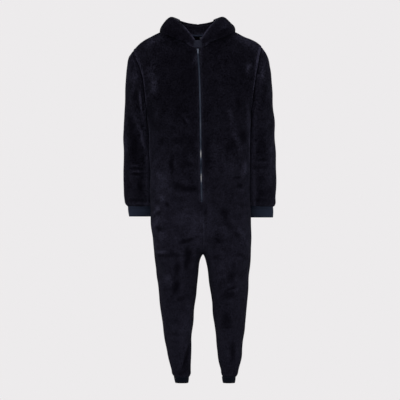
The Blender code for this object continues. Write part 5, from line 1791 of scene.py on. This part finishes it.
label_low, label_high = (np.array(corner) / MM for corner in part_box("neck_label"))
columns = np.linspace(label_low[0], label_high[0], LABEL_COLUMNS)
rows = np.linspace(label_high[2], label_low[2], LABEL_ROWS)
x, z = np.meshgrid(columns, rows)
curl = LABEL_CURL * np.sin(np.linspace(0, np.pi, LABEL_ROWS))[:, None]
label_grid = np.stack([x, np.full_like(x, label_low[1]) - curl, z], axis=2)
label = add_strip("neck_label_cloth", label_grid, LABEL_THICK, LABEL)
declare(label, "neck_label")


# ---------------------------------------------------------------- stitches

STITCH = 3.0
STITCH_GAP = 1.2
STITCH_RADIUS = 0.35
STITCH_HEIGHT = 0.28
STITCH_LIFT = 0.15
# The zip's stitches start some rows below the neck, over the normals of one column
ZIP_STITCH_ROWS = slice(4, None)
ZIP_STITCH_COLUMN = 3
# The rim is hemmed where the hood is this deep
HEMMED_FROM = 110


def at_runs(run, values, where):
    """Rows of values at some lengths along a line."""
    return np.stack([np.interp(where, run, values[:, k]) for k in range(3)], axis=1)


def stitch_line(name, line, out):
    """Evenly spaced stitches along a line of points, each lying on its surface."""
    line = line + out * STITCH_LIFT
    steps = np.linalg.norm(np.diff(line, axis=0), axis=1)
    run = np.concatenate([[0], np.cumsum(steps)])
    begins = np.arange(0, run[-1] - STITCH, STITCH + STITCH_GAP)
    starts, ends = at_runs(run, line, begins), at_runs(run, line, begins + STITCH)
    up = unit(at_runs(run, out, begins))
    made = add_capsules(name, starts, ends, up, STITCH_RADIUS, STITCH_HEIGHT, THREAD, around=6)
    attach(made, "garment")


def offset_line(piece, rows, distance):
    """Points of a piece's outer face at a distance from its first column, for some rows."""
    outer = piece.outer()
    line = [[np.interp(distance, piece.across[r], outer[r, :, k]) for k in range(3)] for r in rows]
    return np.array(line), piece.normals[rows, ZIP_STITCH_COLUMN]


zip_rows = np.flatnonzero(cloth["front_left"].points[:, 0, 2] > ZIP_END_Z)[ZIP_STITCH_ROWS]
for side in SIDES:
    line, out = offset_line(cloth[f"front_{side}"], zip_rows, ZIP_TOPSTITCH[1])
    stitch_line(f"zip_stitches_{side}", line, out)

for side in SIDES:
    piece = cloth[f"hood_{side}"]
    columns = np.flatnonzero(piece.from_top[-1] > HEMMED_FROM)
    hem_row = [int(np.searchsorted(-piece.to_end[:, c], -RIM_TOPSTITCH[1])) for c in columns]
    line, out = piece.outer()[hem_row, columns], piece.normals[hem_row, columns]
    stitch_line(f"rim_stitches_{side}", line, out)


# ---------------------------------------------------------------- camera, light and floor

VIEW_WIDTH = 1.68
SENSOR = 36

camera_data = bpy.data.cameras.new("camera")
camera_data.sensor_width = SENSOR
camera_data.lens = SENSOR * EYE_DISTANCE * MM / VIEW_WIDTH
camera = bpy.data.objects.new("camera", camera_data)
camera.location = (0, -EYE_DISTANCE * MM, EYE_Z * MM)
camera.rotation_euler = (np.pi / 2, 0, 0)
bpy.context.scene.collection.objects.link(camera)
bpy.context.scene.camera = camera

WORLD_COLOUR = (0.847, 0.831, 0.839, 1)
world = bpy.data.worlds.new("studio")
world.use_nodes = True
world.node_tree.nodes["Background"].inputs["Color"].default_value = WORLD_COLOUR
world.node_tree.nodes["Background"].inputs["Strength"].default_value = 1.0
bpy.context.scene.world = world
bpy.context.scene.view_settings.view_transform = "Standard"


def soft_light(name, place, aim, size, power):
    """A square area light turned to its aim."""
    data = bpy.data.lights.new(name, "AREA")
    data.size = size
    data.energy = power
    made = bpy.data.objects.new(name, data)
    x, y, z = np.array(aim, float) - np.array(place, float)
    made.location = place
    made.rotation_euler = (np.arctan2(np.hypot(x, y), -z), 0, np.arctan2(y, x) - np.pi / 2)
    made.visible_camera = False
    bpy.context.scene.collection.objects.link(made)


soft_light("light_left", (-3.2, -2.2, 1.2), (0, 0, -0.5), 2.0, 60)
soft_light("light_right", (3.4, -1.8, 0.8), (0, 0, -0.6), 2.0, 50)
soft_light("light_top", (0.2, -0.6, 3.2), (0, 0, -0.4), 2.4, 50)
soft_light("light_behind", (0.4, 3.6, 1.4), (0, 0, -0.7), 2.2, 40)

FLOOR_Z = -1700.0
FLOOR_HALF = 1800.0
edge = np.linspace(-FLOOR_HALF, FLOOR_HALF, 5)
floor_x, floor_y = np.meshgrid(edge, edge)
floor_points = np.stack([floor_x, floor_y, np.full_like(floor_x, FLOOR_Z)], axis=2)
floor = build_mesh("floor", floor_points.reshape(-1, 3), grid_quads(5, 5), 1)
floor.data.materials.append(floor_look())
